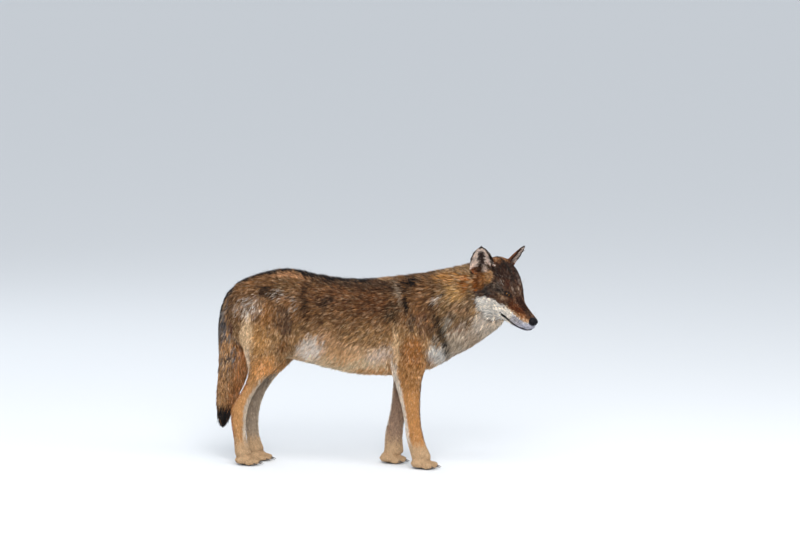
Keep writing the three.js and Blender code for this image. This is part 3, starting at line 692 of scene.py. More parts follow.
def dye_ears(dye):
    """Rust outside and dark towards the tip, pale inside with a dark hollow of painted shade and dark hair,
    and a dark rim.
    """
    paint = dye.paint
    for side, name in ((1, "ear_right"), (-1, "ear_left")):
        ear = rise(dye.part[name], 0.4, 0.75)
        height, across = in_ear(dye.rows, side)
        inside = rise(dye.normals @ np.array(ear_frame(side)[2]), 0.0, 0.35)
        paint(ear, "#8a4f2c", "#4f2c1b")
        paint(ear * rise(height, 0.55, 0.95) * (1 - inside), "#3b2419", "#1c120e")
        paint(ear * inside * rise(height, 0.0, 0.14), "#eed9cc", "#e2cbbe")
        # the dark middle of the cup: painted shade in the hollow, with the dark hair there
        hollow = 1 - rise(abs(across + 0.1) + dye.speck * 0.3, 0.16, 0.46)
        paint(ear * inside * hollow * rise(0.84 - height, 0, 0.2), "#3a2724", "#221615")
        reach = np.maximum(1 - np.clip(height, 0, 0.97) ** 2.4, 0.05) ** 0.72
        toward_crown = across * side / reach
        rim = rise(-toward_crown, 0.76, 0.9) + rise(toward_crown, 0.62 - 0.12 * side, 0.78 - 0.06 * side)
        rim = rim + rise(height, 0.84, 0.93)
        paint(ear * rim * rise(height, 0.1, 0.4), "#33201a", "#170f0d")


def coat_colours(rows, normals, shares, luck=None):
    """The colour of the hair and of its tips at these points of the coat."""
    dye = Dye(rows, normals, shares, luck)
    for dye_part in (dye_body, dye_legs, dye_tail, dye_head, dye_ears):
        dye_part(dye)
    return dye.hair, dye.tips


BARE = linear("#140f0e")  # the bare skin of the lids, lips and soles
# The hide is dyed like the hair but a fifth darker, as painted shade of the fur over it, and black where it
# is bare.
hide_colour_in_shade = coat_colours(outer, outward, part_share)[0] * 0.8
hide_colour_in_shade += (BARE - hide_colour_in_shade) * bare[:, None]


def colour_in(thing, colours):
    """Keeps a colour for each vertex, which the materials read."""
    layer = thing.data.color_attributes.new("coat", "FLOAT_COLOR", "POINT")
    layer.data.foreach_set("color", np.c_[colours, np.ones(len(colours))].astype(np.float32).ravel())


def start(name, **sockets):
    """A new material, its Principled shader and its settings."""
    material = bpy.data.materials.new(name)
    material.use_nodes = True
    shader = material.node_tree.nodes["Principled BSDF"]
    for socket, value in sockets.items():
        shader.inputs[socket.replace("_", " ")].default_value = value
    return material, shader


def add(material, kind, settings=(), links=(), stops=()):
    """Adds a node to a material, with its settings, the links into its sockets and any colour stops."""
    node = material.node_tree.nodes.new("ShaderNode" + kind)
    for key, value in dict(settings).items():
        if isinstance(key, str) and hasattr(node, key):
            setattr(node, key, value)
        else:
            node.inputs[key].default_value = value
    for socket, source in dict(links).items():
        material.node_tree.links.new(source, node.inputs[socket])
    if stops:
        ramp = node.color_ramp.elements
        while len(ramp) < len(stops):
            ramp.new(0.5)
        for stop, (at, code) in zip(ramp, stops):
            stop.position = at
            stop.color = (*linear(code), 1)
    return node


def feed(shader, **sources):
    """Links outputs of other nodes to a shader's sockets."""
    for socket, source in sources.items():
        shader.id_data.links.new(source, shader.inputs[socket.replace("_", " ")])


# Tanned hide under dense woolly underfur: dull and mealy, with fine pores where it is bare.
PORE = MM / 0.9  # from pore to pore
MOTTLE = 6.25 * MM  # from one dusty patch to the next
hide, hide_shader = start("wolf_hide_and_underfur", Roughness=0.7, Specular_IOR_Level=0.2)
place = add(hide, "TexCoord").outputs["Object"]
pores = add(hide, "TexNoise", {"Scale": 1 / PORE, "Detail": 3.0}, {"Vector": place})
mottle = add(hide, "TexNoise", {"Scale": 1 / MOTTLE, "Detail": 2.0}, {"Vector": place})
shade = add(hide, "MapRange", {"To Min": 0.72, "To Max": 1.28}, {"Value": mottle.outputs["Fac"]})
tone = add(hide, "Attribute", {"attribute_name": "coat"})
toned = add(hide, "VectorMath", {"operation": "SCALE"},
            {0: tone.outputs["Color"], "Scale": shade.outputs["Result"]})
relief = add(hide, "Bump", {"Strength": 0.5, "Distance": 0.6 * MM}, {"Height": pores.outputs["Fac"]})
feed(hide_shader, Base_Color=toned.outputs["Vector"], Normal=relief.outputs["Normal"])
skin.data.materials.append(hide)
colour_in(skin, hide_colour_in_shade)
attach(skin, "root")
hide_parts(*FLESH)

# ---------------------------------------------------------------- lie of the coat
# Hair runs back from the nose over the head, parts round the eyes, runs down the neck and the
# sides, and down the legs to the toes. Each part has its own way, and they are blended.
x, y, z = outer.T
behind, aside, above = in_head(outer)
aside = abs(aside)


def way(ahead, left, up):
    """A direction for each vertex, from numbers that are the same or differ from vertex to vertex."""
    return np.stack([0 * x + ahead, 0 * x + left, 0 * x + up], 1)


belly_up = rise(z, 0.36, 0.69)
cheek = (headness * rise(behind, 140, 210) * rise(aside, 35, 70) * rise(90 - above, 0, 60))[:, None]
round_eye = unit(lid_away) * (1 - rise(lid_gap, 5, 60))[:, None] * 1.1
over_head = way(*-AHEAD) * (1 - 0.35 * cheek) - way(*CROWN) * 0.9 * cheek + round_eye
sweep = -(0.1 + 1.3 * (1 - belly_up)) - 0.8 * rise(-x, 0.44, 0.52)
over_paw = way(0.2 + 0.9 * rise(0.065 - z, 0, 0.02), 0, -0.7)
LIES = {
    "head": over_head,
    "jaw": over_head,
    "ear_right": way(*ear_frame(1)[1]),
    "ear_left": way(*ear_frame(-1)[1]),
    "neck": way(-0.92, 0.3, -0.15 - 1.0 * rise(0.72 - z, 0.02, 0.16)),
    "trunk": way(-(1 - 0.4 * rise(x, 0.12, 0.2)), 0, sweep),
    "tail": way(-0.1 - 0.5 * rise(z, 0.5, 0.6), 0, -1),
    "shoulder": way(-0.25, 0, -1),
    "foreleg": way(-0.12, 0, -1),
    "forepaw": over_paw,
    "thigh": way(-0.3 - 0.3 * rise(0.42 - z, 0, 0.06), 0, -1),
    "hindleg": way(0.04, 0, -1),
    "hindpaw": over_paw,
}
lie = sum(unit(LIES[name]) * share_of[name][:, None] for name in order)
for _ in range(4):
    lie = unit(lie - outward * (lie * outward).sum(1)[:, None])
    lie = evened(lie, ends, 5)
lie = unit(lie - outward * (lie * outward).sum(1)[:, None])

# ---------------------------------------------------------------- coat
# Thousands of small locks of hair, each a thin closed wedge rooted in the skin. It bends over
# to lie along the body with its tip at the coat's surface, and is darker at its root as painted shade.
# Lengths are in mm.
HAIR = {"head": 13, "jaw": 9, "ear_right": 8, "ear_left": 8, "neck": 37, "trunk": 24, "tail": 42,
        "shoulder": 19, "foreleg": 12, "forepaw": 8, "thigh": 21, "hindleg": 12, "hindpaw": 8}
SHORT_HAIRED = ("foreleg", "forepaw", "hindleg", "hindpaw")
hair_length = part_share @ np.array([HAIR[name] for name in order])
face_hair = 4.5 + 7 * rise(behind, 90, 170) + 26 * rise(behind, 180, 260) * rise(70 - above, 0, 60)
face_hair += 16 * rise(behind, 135, 175) * rise(-above, 48, 75)
hair_length += headness * (face_hair - hair_length)
hair_length = np.maximum(evened(hair_length, ends, 8), 4)

# The hair at the tail's end turns down to a point, and is shorter the lower it grows.
tail_end = share_of["tail"] * (1 - rise(z, 0.17, 0.22))
hair_length += tail_end * (np.clip((z / MM - 118) * 0.8, 12, 45) - hair_length)
tail_foot = outer[(share_of["tail"] > 0.5) & (z < z[share_of["tail"] > 0.9].min() + 0.01)].mean(0)
downward = unit(tail_foot + np.array((0, 0, -0.03)) - outer)
lie = unit(lie + (downward - lie) * tail_end[:, None])

# It stands higher between the ears. There, at the throat and on the tail it is loose, and holds less
# to the coat's surface. Beside the lips and the lids it is short.
crown = headness * hump(behind, 272, 50) * rise(above, 80, 115) * (1 - rise(aside, 40, 62))
outer += outward * (crown * 6 * MM)[:, None]
hair_length += crown * 12
throat = share_of["neck"] * rise(-outward[:, 2], -0.3, 0.4) * rise(x, 0.2, 0.3)
looseness = np.clip(0.9 * tail_end + 0.3 * crown + 0.35 * throat + 0.25 * share_of["tail"], 0, 1)
hair_length = np.minimum(hair_length, 2 + 0.8 * np.maximum(abs(below), 1 / (in_mouth + 0.01)))
hair_length = np.minimum(hair_length, 2.6 + 12 * rise(lid_gap, 8, 80) + 60 * rise(lid_gap, 60, 90))
hair_width = 0.5 + 0.037 * hair_length
coat_depth = np.linalg.norm(outer - inner, axis=1)

# Guard hair with wool between: dyed by each lock's own colours, with fine strands along it and a
# dull silky gloss that lifts the top of each lock.
STRAND = MM / 1.3  # from strand to strand
hair_finish, hair_shader = start("wolf_guard_hair", Roughness=0.58, Specular_IOR_Level=0.16)
place = add(hair_finish, "TexCoord").outputs["Object"]
strands = add(hair_finish, "TexNoise", {"Scale": 1 / STRAND, "Detail": 1.0}, {"Vector": place})
shade = add(hair_finish, "MapRange", {"To Min": 0.7, "To Max": 1.3}, {"Value": strands.outputs["Fac"]})
tone = add(hair_finish, "Attribute", {"attribute_name": "coat"})
toned = add(hair_finish, "VectorMath", {"operation": "SCALE"},
            {0: tone.outputs["Color"], "Scale": shade.outputs["Result"]})
gloss = add(hair_finish, "MapRange", {"To Min": 0.5, "To Max": 0.68}, {"Value": strands.outputs["Fac"]})
feed(hair_shader, Base_Color=toned.outputs["Vector"], Roughness=gloss.outputs["Result"])

# A lock has five points: one at its root, three round its middle and one at its tip.
WEDGE = np.array([[0, 2, 1], [0, 3, 2], [0, 1, 3], [1, 2, 4], [2, 3, 4], [3, 1, 4]])
PATCH = 0.003  # the width of a lock's patch on the unwrap
PATCH_POINTS = np.array([[0, -0.5], [-0.5, 0], [0.5, 0], [0, 0.08], [0, 0.5]]) * PATCH
CLUMP = 5.5 * MM  # how far apart the clumps are that locks lean together in


def new_piece(name, mesh):
    """A new piece with this mesh."""
    thing = bpy.data.objects.new(name, mesh)
    bpy.context.scene.collection.objects.link(thing)
    return thing


def unwrapped(chosen):
    """The corners of these triangles of the skin on an unwrap of their own shape."""
    used, packed = np.unique(chosen, return_inverse=True)
    mesh = bpy.data.meshes.new("bed")
    mesh.from_pydata(inner[used].tolist(), [], packed.reshape(-1, 3).tolist())
    bed = new_piece("bed", mesh)
    edit_all(bed, bpy.ops.uv.smart_project, angle_limit=1.15, island_margin=0.002)
    layout = np.empty(len(chosen) * 6)
    mesh.uv_layers[0].data.foreach_get("uv", layout)
    bpy.data.objects.remove(bed)
    return layout.reshape(-1, 3, 2)


def tree_of(points):
    """A tree that finds the nearest of these points."""
    tree = kdtree.KDTree(len(points))
    for number, row in enumerate(points.tolist()):
        tree.insert(row, number)
    tree.balance()
    return tree


def piece_of_locks(name, points, place):
    """A piece with a closed wedge for each lock's five points, unwrapped at each lock's place."""
    count = len(points)
    centred = points[:, WEDGE] - points.mean(1)[:, None, None]
    volume = (centred[:, :, 0] * np.cross(centred[:, :, 1], centred[:, :, 2])).sum((1, 2))
    wedges = np.where((volume < 0)[:, None, None], WEDGE[None, :, ::-1], WEDGE[None])
    numbers = wedges + (np.arange(count) * 5)[:, None, None]
    mesh = bpy.data.meshes.new(name)
    mesh.vertices.add(count * 5)
    mesh.vertices.foreach_set("co", points.ravel())
    mesh.loops.add(count * 18)
    mesh.loops.foreach_set("vertex_index", numbers.ravel().astype(np.int32))
    mesh.polygons.add(count * 6)
    mesh.polygons.foreach_set("loop_start", np.arange(0, count * 18, 3, dtype=np.int32))
    mesh.update(calc_edges=True)
    mesh.polygons.foreach_set("use_smooth", np.ones(count * 6, bool))
    layout = mesh.uv_layers.new(name="OFBake")
    layout.data.foreach_set("uv", (place[:, None, None] + PATCH_POINTS[wedges]).ravel())
    mesh.materials.append(hair_finish)
    return new_piece(name, mesh)


def shaded(rng, hair, tips, short, clump, clump_count, middle, tip):
    """The colours of each lock's five points, with each clump's and each lock's own shade, and painted shade
    at the root.

    Dark fur is more broken than pale fur, and the sleek legs least of all.
    """
    count = len(hair)
    dark = 0.75 * rng.random(clump_count)[clump] + 0.25 * rng.random(count)
    pale = hair @ np.array((0.3, 0.55, 0.15))
    grain = (0.2 + 0.42 * (1 - rise(pale, 0.12, 0.55))) * (1 - 0.5 * short)
    shade = np.exp(rng.normal(0, 1, clump_count)[clump] * grain - grain ** 2 / 2)
    shade = np.minimum(shade * rng.uniform(0.78, 1.22, count), 1.9)
    end_shade = np.exp(rng.normal(0, 1, clump_count)[clump] * grain - grain ** 2 / 2)
    end_shade *= 1 + 3 * grain * (clouds(tip, 8 * MM, 10) - 0.5)
    middle_shade = 1 + 2.4 * grain * (clouds(middle, 7 * MM, 11) - 0.5)
    washed = pale[:, None] * np.array((1.22, 0.95, 0.64))
    hair = hair + (washed - hair) * np.clip(shade - 1, 0, 0.6)[:, None]
    at_tip = np.where((dark < 0.55)[:, None], tips * 0.72, hair * 1.4)
    at_tip += (hair - at_tip) * 0.5 * short[:, None]
    at_middle = hair * (1 - 0.35 * (dark < 0.3))[:, None]
    # the root is darkened as painted shade of the locks over it, less where the hair is pale
    root_in_shade = hair * (0.55 + 0.3 * rise(pale, 0.2, 0.55))[:, None]
    tones = np.stack([root_in_shade, at_middle, at_middle, at_middle, at_tip], 1) * shade[:, None, None]
    tones[:, 1:4] *= middle_shade[:, None, None]
    tones[:, 4] *= (0.45 + 0.55 * end_shade / np.maximum(shade, 0.3))[:, None]
    return tones.reshape(-1, 3)


def grow(name, where, count, slot, over_parts, lie=lie, length=hair_length, width=hair_width, lift=1.0):
    """Grows count locks on the skin's triangles listed in where, as one joined piece."""
    rng = np.random.default_rng(len(name) * 1000 + count)
    chosen = faces[where & (bare[faces].max(1) < 0.5)]
    unwrap = unwrapped(chosen)
    allowed = np.nonzero(part_share[:, [order.index(part) for part in over_parts]].sum(1) > 0.25)[0]
    hull = tree_of(outer[allowed])

    # each lock's place on a triangle, closer together where they are short
    a, b, c = (outer[chosen[:, k]] for k in range(3))
    area = np.linalg.norm(np.cross(b - a, c - a), axis=1)
    need = area / (length * width)[chosen].mean(1) ** 0.8
    total = np.cumsum(need)
    face = np.searchsorted(total, (np.arange(count) + rng.random(count)) / count * total[-1])
    face = np.minimum(face, len(chosen) - 1)
    u, v = np.sqrt(rng.random(count)), rng.random(count)
    share = np.stack([1 - u, u * (1 - v), u * v], 1)
    corner = chosen[face]

    def at(values):
        """The value at each lock's place."""
        picked = values[corner]
        return (picked * (share if values.ndim == 1 else share[:, :, None])).sum(1)

    root, top, out, run = at(inner), at(outer), unit(at(outward)), unit(at(lie))
    size = at(length) * MM * rng.uniform(0.65, 1.2, count)
    wide = at(width) * MM * rng.uniform(0.7, 1.4, count)
    side = unit(np.cross(out, run))
    sway = (clouds(root, 35 * MM, 7) - 0.5) * 0.5 + (clouds(root, 12 * MM, 8) - 0.5) * 0.4
    sway += rng.normal(0, 0.22, count)
    run = unit(run + side * sway[:, None])
    clump_count = int(area.sum() / CLUMP ** 2)
    heads = rng.choice(count, clump_count, replace=False)
    clumps = tree_of(top[heads] + run[heads] * size[heads][:, None] * 0.8)
    loose = at(looseness)

    def laid(distance, height):
        """A point that far along the lie, at a share of the coat's depth above the skin."""
        aim = top + run * distance[:, None]
        found = allowed[[hull.find(row)[1] for row in aim.tolist()]]
        base, normal, thick = outer[found], outward[found], coat_depth[found]
        strayed = (np.linalg.norm(aim - base, axis=1) > 0.6 * size + 8 * MM) | ((normal * out).sum(1) < 0.3)
        normal = np.where(strayed[:, None], out, normal)
        base = np.where(strayed[:, None], top, base)
        lowered = normal * (((aim - base) * normal).sum(1) + thick * (1 - height))[:, None]
        return aim - lowered * (1 - loose)[:, None], normal, found

    stray = rng.random(count) < 0.06
    high = 1.05 + stray * rng.uniform(0, 0.3, count) - 0.34 * rng.random(count) ** 1.6
    high = (high - 0.22 * clouds(root, 14 * MM, 9)) * lift
    middle = laid(size * 0.42, 0.52 * high + 0.14)[0]
    tip, over, found = laid(size, high)
    # locks lean together in small clumps
    clump = np.array([clumps.find(row)[1] for row in tip.tolist()])
    draw = tip[heads][clump] - tip
    near = np.linalg.norm(draw, axis=1)
    draw *= np.where(near < 0.35 * size, 0.5, 0)[:, None]
    tip = tip + draw
    middle = middle + draw * 0.3

    # the wedge: its widest part at its middle, with a ridge on top, rolled a little to one side
    root = root - out * 0.6 * MM
    along = unit(tip - root)
    side = unit(np.cross(over, along))
    roll = rng.normal(0, 0.45, count)
    up = unit(np.cross(along, side))
    across = side * np.cos(roll)[:, None] + up * np.sin(roll)[:, None]
    ridge = np.cross(along, across)
    ridge *= np.sign((ridge * over).sum(1))[:, None]
    points = np.stack([root, middle + across * wide[:, None] * 0.5, middle - across * wide[:, None] * 0.5,
                       middle + ridge * wide[:, None] * 0.35, tip], 1)
    thing = piece_of_locks(name, points, (unwrap[face] * share[:, :, None]).sum(1))

    # each lock takes its colours a little way off, so that the markings' edges break into locks
    astray = run * rng.normal(0, 0.22, count)[:, None] + side * rng.normal(0, 0.09, count)[:, None]
    luck = (rng.random(clump_count)[clump] + 0.2 * rng.random(count)) % 1
    hair, tips = coat_colours(middle + astray * size[:, None], over, part_share[found], luck)
    short = part_share[found][:, [order.index(part) for part in SHORT_HAIRED]].sum(1)
    colour_in(thing, shaded(rng, hair, tips, short, clump, clump_count, middle, tip))
    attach(thing, "root")


owner = np.argmax(part_share[faces].mean(1), axis=1)
middle_of = outer[faces].mean(1)
is_right = middle_of[:, 1] < MIDLINE


def on(*names):
    """Which of the skin's triangles these parts of the body own."""
    return np.isin(owner, [order.index(name) for name in names])


face_front = on("head", "jaw") & (in_head(middle_of)[0] < 150)
HEAD_PARTS = ("head", "jaw", "neck")
NECK_PARTS = ("neck", "head", "trunk", "shoulder")
TRUNK_PARTS = ("trunk", "neck", "shoulder", "thigh", "tail")
PIECES = (  # a name, the triangles it grows on, its locks, its slot, and the parts it lies over
    ("coat_face", face_front, 30000, "coat_mask", HEAD_PARTS),
    ("coat_crown", on("head", "jaw") & ~face_front, 25000, "coat_mask", HEAD_PARTS),
    ("coat_ears", on("ear_right", "ear_left"), 12000, "coat_mask", ("ear_right", "ear_left", "head")),
    ("coat_neck_right", on("neck") & is_right, 20000, "coat_ruff", NECK_PARTS),
    ("coat_neck_left", on("neck") & ~is_right, 16000, "coat_ruff", NECK_PARTS),
    ("coat_body_right", on("trunk") & is_right, 32000, "coat_back", TRUNK_PARTS),
    ("coat_body_left", on("trunk") & ~is_right, 27000, "coat_back", TRUNK_PARTS),
    ("coat_shoulders", on("shoulder"), 16000, "coat_tawny", ("shoulder", "foreleg", "trunk", "neck")),
    ("coat_thighs", on("thigh"), 22000, "coat_tawny", ("thigh", "hindleg", "trunk")),
    ("coat_forelegs", on("foreleg", "forepaw"), 16000, "coat_tawny", ("foreleg", "forepaw", "shoulder")),
    ("coat_hindlegs", on("hindleg", "hindpaw"), 16000, "coat_tawny", ("hindleg", "hindpaw", "thigh")),
    ("coat_tail", on("tail"), 15000, "coat_brush", ("tail",)),
)
for piece in PIECES:
    grow(*piece)

# ---------------------------------------------------------------- long hair inside the ears
# Long pale hairs rooted along both edges of each cup, which lean over its dark middle and up.
FRINGE_LENGTH, FRINGE_WIDTH = 20, 0.7  # in mm
FRINGE_LIFT = 2.4  # how far it stands off the cup, as a share of the coat's depth there
inside_ear = np.zeros(len(outer))
fringe_lie = lie.copy()
for side, name in ((1, "ear_right"), (-1, "ear_left")):
    root, axis, cup, across = (np.array(v) for v in ear_frame(side))
    up_ear, across_ear = in_ear(outer, side)
    band = rise(outward @ cup, 0.0, 0.3) * hump(abs(across_ear), 0.6, 0.3) * rise(0.8 - up_ear, 0, 0.15)
    chosen = share_of[name] * band
    inside_ear = np.maximum(inside_ear, chosen)
    lean = axis[None] + cup[None] * 0.5 - across[None] * np.sign(across_ear)[:, None] * 0.8
    fringe_lie = np.where((chosen > 0.1)[:, None], unit(lean), fringe_lie)
fringe = inside_ear[faces].mean(1) > 0.3
grow("coat_ear_fringe", fringe, 1500, "coat_mask", ("ear_right", "ear_left"), fringe_lie,
     np.full(len(outer), float(FRINGE_LENGTH)), np.full(len(outer), FRINGE_WIDTH), FRINGE_LIFT)

# ---------------------------------------------------------------- whiskers
# Stiff tapered hairs in rows on the upper lip, a few over each eye and under the chin, curved back.
WHISKER = 0.45 * MM  # radius at the root
SIDES, RINGS = 5, 7
whiskers_at = [  # how far behind and above the nose, the length in mm, and how much it points up
    (28 + 9 * k, -12 - 7 * row, 30 + 9 * k, 0.25 - 0.25 * row)
    for row, number in enumerate((4, 5, 4)) for k in range(number)
]
whiskers_at += [(150, 64, 34, 0.9), (155, 66, 30, 0.8), (168, 20, 30, 0.1), (60, -62, 24, -0.7)]
muzzle = BVHTree.FromPolygons(inner.tolist(), faces.tolist())
rng = np.random.default_rng(5)
points, rings = [], []
for side in (1, -1):
    for back, high, size, tilt in whiskers_at:
        foot, out, _, _ = muzzle.find_nearest(from_head(back, side * 45, high))
        aim = (out * 0.9 + ASIDE * side * 0.5 - AHEAD * 0.35 + CROWN * tilt * 0.5).normalized()
        bend = (-AHEAD * 0.8 - CROWN * 0.35 + Vector(rng.normal(0, 0.15, 3))).normalized()
        flat = aim.cross(bend).normalized()
        deep = flat.cross(aim).normalized()
        size *= MM * rng.uniform(0.85, 1.15)
        first = len(points)
        for ring in range(RINGS):
            share = ring / (RINGS - 1)
            centre = foot - out * MM + aim * size * share + bend * size * 0.45 * share ** 2
            thin = WHISKER * (1 - 0.92 * share)
            for k in range(SIDES):
                angle = 2 * math.pi * k / SIDES
                points.append(centre + flat * math.cos(angle) * thin + deep * math.sin(angle) * thin)
        for ring in range(RINGS - 1):
            for k in range(SIDES):
                low, nextlow = first + ring * SIDES + k, first + ring * SIDES + (k + 1) % SIDES
                rings.append((low, nextlow, nextlow + SIDES, low + SIDES))
        rings.append(tuple(first + k for k in reversed(range(SIDES))))
        rings.append(tuple(first + (RINGS - 1) * SIDES + k for k in range(SIDES)))
mesh = bpy.data.meshes.new("whiskers")
mesh.from_pydata([tuple(point) for point in points], [], rings)
whiskers = new_piece("whiskers", mesh)
edit_all(whiskers, bpy.ops.mesh.normals_make_consistent, inside=False)
bpy.ops.object.shade_smooth()
# Whisker keratin: a smooth, stiff hair, dark in some places and pale in others.
bristle, bristle_shader = start("whisker_keratin", Roughness=0.35)
place = add(bristle, "TexCoord").outputs["Object"]
patchy = add(bristle, "TexNoise", {"Scale": 45.0}, {"Vector": place})
shades = add(bristle, "ValToRGB", (), {"Fac": patchy.outputs["Fac"]}, ((0.4, "#2a201c"), (0.62, "#b9aca0")))
feed(bristle_shader, Base_Color=shades.outputs["Color"])
whiskers.data.materials.append(bristle)
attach(whiskers, "root")

# ---------------------------------------------------------------- eyes
# A glass eye behind half-shut lids: a white with brown veins, a wide amber iris with a dark ring
# round it and fine rays in it, a small round pupil, and a clear cornea that bulges over them.
IRIS, PUPIL, SHOWN = 46, 15, 60  # their edges and the colours' end, in degrees from the cornea's middle
BULGE, BULGE_EDGE = 1.1 * MM, 38  # how far the cornea stands out, and its edge in the same degrees
glass, glass_shader = start("amber_glass_eye", Roughness=0.12, IOR=1.45, Specular_IOR_Level=0.12,
                            Coat_Weight=0.12, Coat_Roughness=0.02)
polar = add(glass, "SeparateXYZ", (), {"Vector": add(glass, "TexCoord").outputs["UV"]})
rays_at = add(glass, "CombineXYZ", (), {"X": polar.outputs["X"]})
rays = add(glass, "TexNoise", {"Scale": 75.0, "Detail": 4.0}, {"Vector": rays_at.outputs["Vector"]})
ring_at = add(glass, "MapRange", {"From Min": 1 - SHOWN / 180, "From Max": 1.0},
              {"Value": polar.outputs["Y"]})
iris_at, pupil_at = 1 - IRIS / SHOWN, 1 - PUPIL / SHOWN
rings = add(glass, "ValToRGB", (), {"Fac": ring_at.outputs["Result"]}, (
    (0.0, "#1e130e"), (iris_at - 0.05, "#1c120d"),
    (iris_at, "#0e0906"), (iris_at + 0.1, "#2f1b0a"), (iris_at + 0.24, "#5f3c14"),
    (pupil_at - 0.1, "#70491b"), (pupil_at - 0.03, "#38210c"), (pupil_at, "#030303"),
))
bright = add(glass, "MapRange", {"To Min": 0.55, "To Max": 1.45}, {"Value": rays.outputs["Fac"]})
iris_tone = add(glass, "VectorMath", {"operation": "SCALE"},
                {0: rings.outputs["Color"], "Scale": bright.outputs["Result"]})
feed(glass_shader, Base_Color=iris_tone.outputs["Vector"])
for side, name in ((1, "eye_right"), (-1, "eye_left")):
    centre = eye_frame(side)[0]
    look = (AHEAD * 0.66 + ASIDE * 0.66 * side + CROWN * 0.3).normalized()
    turned = look.to_track_quat("Z", "Y").to_euler()
    bpy.ops.mesh.primitive_uv_sphere_add(segments=64, ring_count=40, radius=EYE_RADIUS,
                                         location=centre, rotation=turned)
    eye = bpy.context.object
    eye.name = eye.data.name = name + "_ball"
    bpy.ops.object.transform_apply(location=True, rotation=True, scale=True)
    bpy.ops.object.shade_smooth()
    rows = spots(eye)
    away = unit(rows - np.array(centre))
    polar_angle = np.degrees(np.arccos(np.clip(away @ np.array(look), -1, 1)))
    put(eye, rows + away * (BULGE * np.clip(1 - (polar_angle / BULGE_EDGE) ** 2, 0, 1))[:, None])
    eye.data.materials.append(glass)
    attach(eye, "root")
    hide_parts(name)

# ---------------------------------------------------------------- nose pad
# The bare, damp, pebbled leather of the nose: broad above, narrow below, parted by a groove down
# the middle, with a round nostril on each side that runs out into a slit.
bpy.ops.mesh.primitive_uv_sphere_add(segments=96, ring_count=72, radius=1.0)
nose = bpy.context.object
nose.name = nose.data.name = "nose_pad"
bpy.ops.object.shade_smooth()
ball = spots(nose)
ball = np.sign(ball) * abs(ball) ** 0.86  # squarer than a ball
ball /= np.maximum(abs(ball).max(0), 1e-9)
fore, wide, tall = (ball[:, axis] * NOSE_HALF[axis] for axis in range(3))
front = rise(fore, -2, 6)
wide *= 1 - 0.34 * rise(-tall, -2, 14)
fore -= front * (2.6 * rise(-tall, 1, 13) + 1.2 * rise(tall, 9, 15))
sides = abs(wide)
fore -= front * 1.7 * (1 - rise(sides, 0.2, 1.5)) * rise(3 - tall, 0, 5)
nostril = np.hypot((sides - 8.6) / 3.9, (tall + 0.6 + 0.15 * (sides - 8.6)) / 3.0)
hole = 1 - rise(nostril, 0.45, 1.0)
fore += front * 0.9 * hump(nostril, 1.45, 0.6)
fore -= front * 7.5 * hole
wide -= np.sign(wide) * front * 1.5 * hole
slit = hump(tall + 2.4 + 0.55 * (sides - 11), 0, 1.7) * rise(sides, 9.5, 11.5) * rise(fore, -8, -2)
wide -= np.sign(wide) * 2.4 * slit
fore -= front * 1.5 * slit
nose_middle = np.array(from_head(*NOSE_PLACE))
put(nose, nose_middle + (np.outer(fore, AHEAD) + np.outer(wide, ASIDE) + np.outer(tall, CROWN)) * MM)
edit_all(nose, bpy.ops.mesh.normals_make_consistent, inside=False)
# Damp black nose leather: pebbled in cells of about a millimetre, with a soft wet gloss.
leather, leather_shader = start("damp_nose_leather", Specular_IOR_Level=0.12)
place = add(leather, "TexCoord").outputs["Object"]
pebbles = add(leather, "TexVoronoi", {"feature": "SMOOTH_F1", "Scale": 1 / PORE}, {"Vector": place})
blotch = add(leather, "TexNoise", {"Scale": 180.0, "Detail": 3.0}, {"Vector": place})
shades = add(leather, "ValToRGB", (), {"Fac": blotch.outputs["Fac"]}, ((0, "#050406"), (1, "#100d13")))
wet = add(leather, "MapRange", {"To Min": 0.3, "To Max": 0.55}, {"Value": blotch.outputs["Fac"]})
relief = add(leather, "Bump", {"Strength": 0.7, "Distance": 0.5 * MM},
             {"Height": pebbles.outputs["Distance"]})
feed(leather_shader, Base_Color=shades.outputs["Color"], Roughness=wet.outputs["Result"],
     Normal=relief.outputs["Normal"])
nose.data.materials.append(leather)
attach(nose, "root")
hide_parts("nose")

# ---------------------------------------------------------------- claws
# Sixteen blunt curved claws of horn, one at the end of each toe, worn at their tips.
claws = [twin(name) for name in CLAWS]
pick(*claws)
bpy.ops.object.join()
claw = claws[0]
claw.name = claw.data.name = "claws"
claw.data.materials.clear()
# the root of each claw, as far as its reach, is drawn back into the toe
ROOT_REACH, ROOT_DEPTH = 6 * MM, 7 * MM
rows = spots(claw)
claw_bases = np.array(claw_roots)
heads = np.argmin(np.linalg.norm(rows[:, None] - claw_bases[None, :, 0], axis=2), axis=1)
deep = 1 - rise(np.linalg.norm(rows - claw_bases[heads, 0], axis=1), 3 * MM, ROOT_REACH)
put(claw, rows - claw_bases[heads, 1] * (deep * ROOT_DEPTH)[:, None])
finish_with(claw, "SUBSURF", levels=2, render_levels=2)
pick(claw)
bpy.ops.object.shade_smooth()
# Claw horn: dense dark keratin with faint lengthwise bands, a little polished by the ground.
horn, horn_shader = start("claw_horn_keratin")
place = add(horn, "TexCoord").outputs["Object"]
stretched = add(horn, "Mapping", {"Scale": (60, 700, 700)}, {"Vector": place})
bands = add(horn, "TexNoise", {"Scale": 1.0, "Detail": 3.0}, {"Vector": stretched.outputs["Vector"]})
shades = add(horn, "ValToRGB", (), {"Fac": bands.outputs["Fac"]}, ((0, "#1d1714"), (1, "#5f5044")))
polish = add(horn, "MapRange", {"To Min": 0.3, "To Max": 0.5}, {"Value": bands.outputs["Fac"]})
relief = add(horn, "Bump", {"Strength": 0.3, "Distance": 0.3 * MM}, {"Height": bands.outputs["Fac"]})
feed(horn_shader, Base_Color=shades.outputs["Color"], Roughness=polish.outputs["Result"],
     Normal=relief.outputs["Normal"])
claw.data.materials.append(horn)
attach(claw, "root")
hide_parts(*CLAWS)

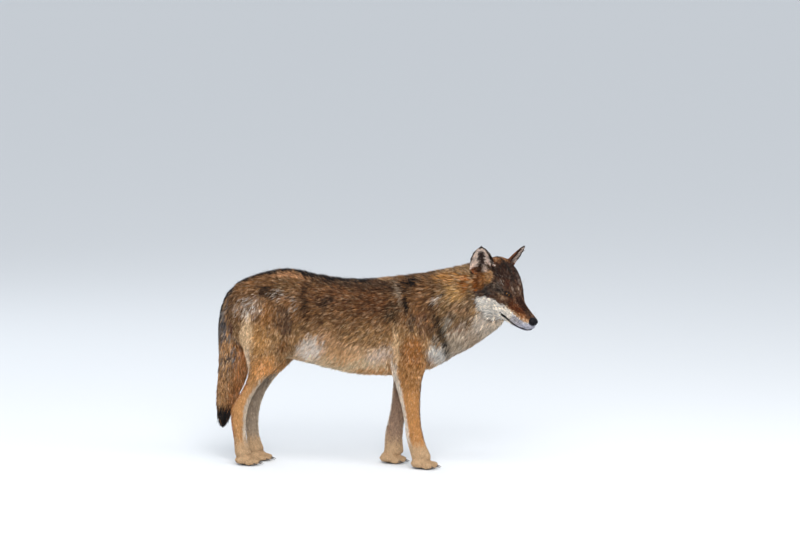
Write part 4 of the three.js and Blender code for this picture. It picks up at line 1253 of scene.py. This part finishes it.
# ---------------------------------------------------------------- studio
# A plain pale floor and a soft, even light from large lamps and the room, with the camera low at
# the animal's right side and far off, as a long lens sees it.
bpy.ops.mesh.primitive_plane_add(size=240)
floor = bpy.context.object
floor.name = "floor"
floor_paint = start("matt_white_floor_paint", Roughness=0.8, Base_Color=(*linear("#dfe2e6"), 1))[0]
floor.data.materials.append(floor_paint)

LOOK_ALONG, LOOK_UP = 0.0813, 0.7008  # the middle of the view, in metres from the floor's middle
FAR_OFF = 15.56  # how far the camera stands from it, in metres
right = Vector((math.cos(AZIMUTH), math.sin(AZIMUTH), 0))
level = math.cos(ELEVATION)
back = Vector((math.sin(AZIMUTH) * level, -math.cos(AZIMUTH) * level, math.sin(ELEVATION)))
looked_at = right * LOOK_ALONG + back.cross(right) * LOOK_UP
bpy.ops.object.camera_add(location=looked_at + back * FAR_OFF)
camera = bpy.context.object
camera.rotation_mode = "QUATERNION"
camera.rotation_quaternion = (-back).to_track_quat("-Z", "Y")
camera.data.lens = 200
camera.data.sensor_width = 36
camera.data.clip_end = 300
bpy.context.scene.camera = camera

world = bpy.data.worlds.new("studio")
bpy.context.scene.world = world
world.use_nodes = True
room = world.node_tree.nodes["Background"].inputs
room["Color"].default_value = (0.92, 0.96, 1, 1)
room["Strength"].default_value = 0.8
bpy.context.scene.view_settings.view_transform = "Standard"

LAMPS = (  # a name, its place and its width in metres, its power in watts, and its colour
    ("side_lamp", (1.0, -6.6, 4.0), 3.5, 370, (1, 0.985, 0.96)),
    ("high_lamp", (0.6, -3.2, 5.0), 4.0, 130, (1, 0.985, 0.96)),
    ("front_lamp", (4.2, -2.6, 4.4), 3.0, 72, (1, 0.98, 0.95)),
    ("rear_lamp", (-3.4, 3.4, 3.8), 3.0, 45, (0.9, 0.95, 1)),
)
LIT = Vector((0, 0, 0.45))  # the point that the lamps face
for name, place, size, power, tint in LAMPS:
    bpy.ops.object.light_add(type="AREA", location=place)
    lamp = bpy.context.object
    lamp.name = name
    lamp.data.shape = "DISK"
    lamp.data.size = size
    lamp.data.energy = power
    lamp.data.color = tint
    lamp.rotation_euler = (LIT - lamp.location).to_track_quat("-Z", "Y").to_euler()
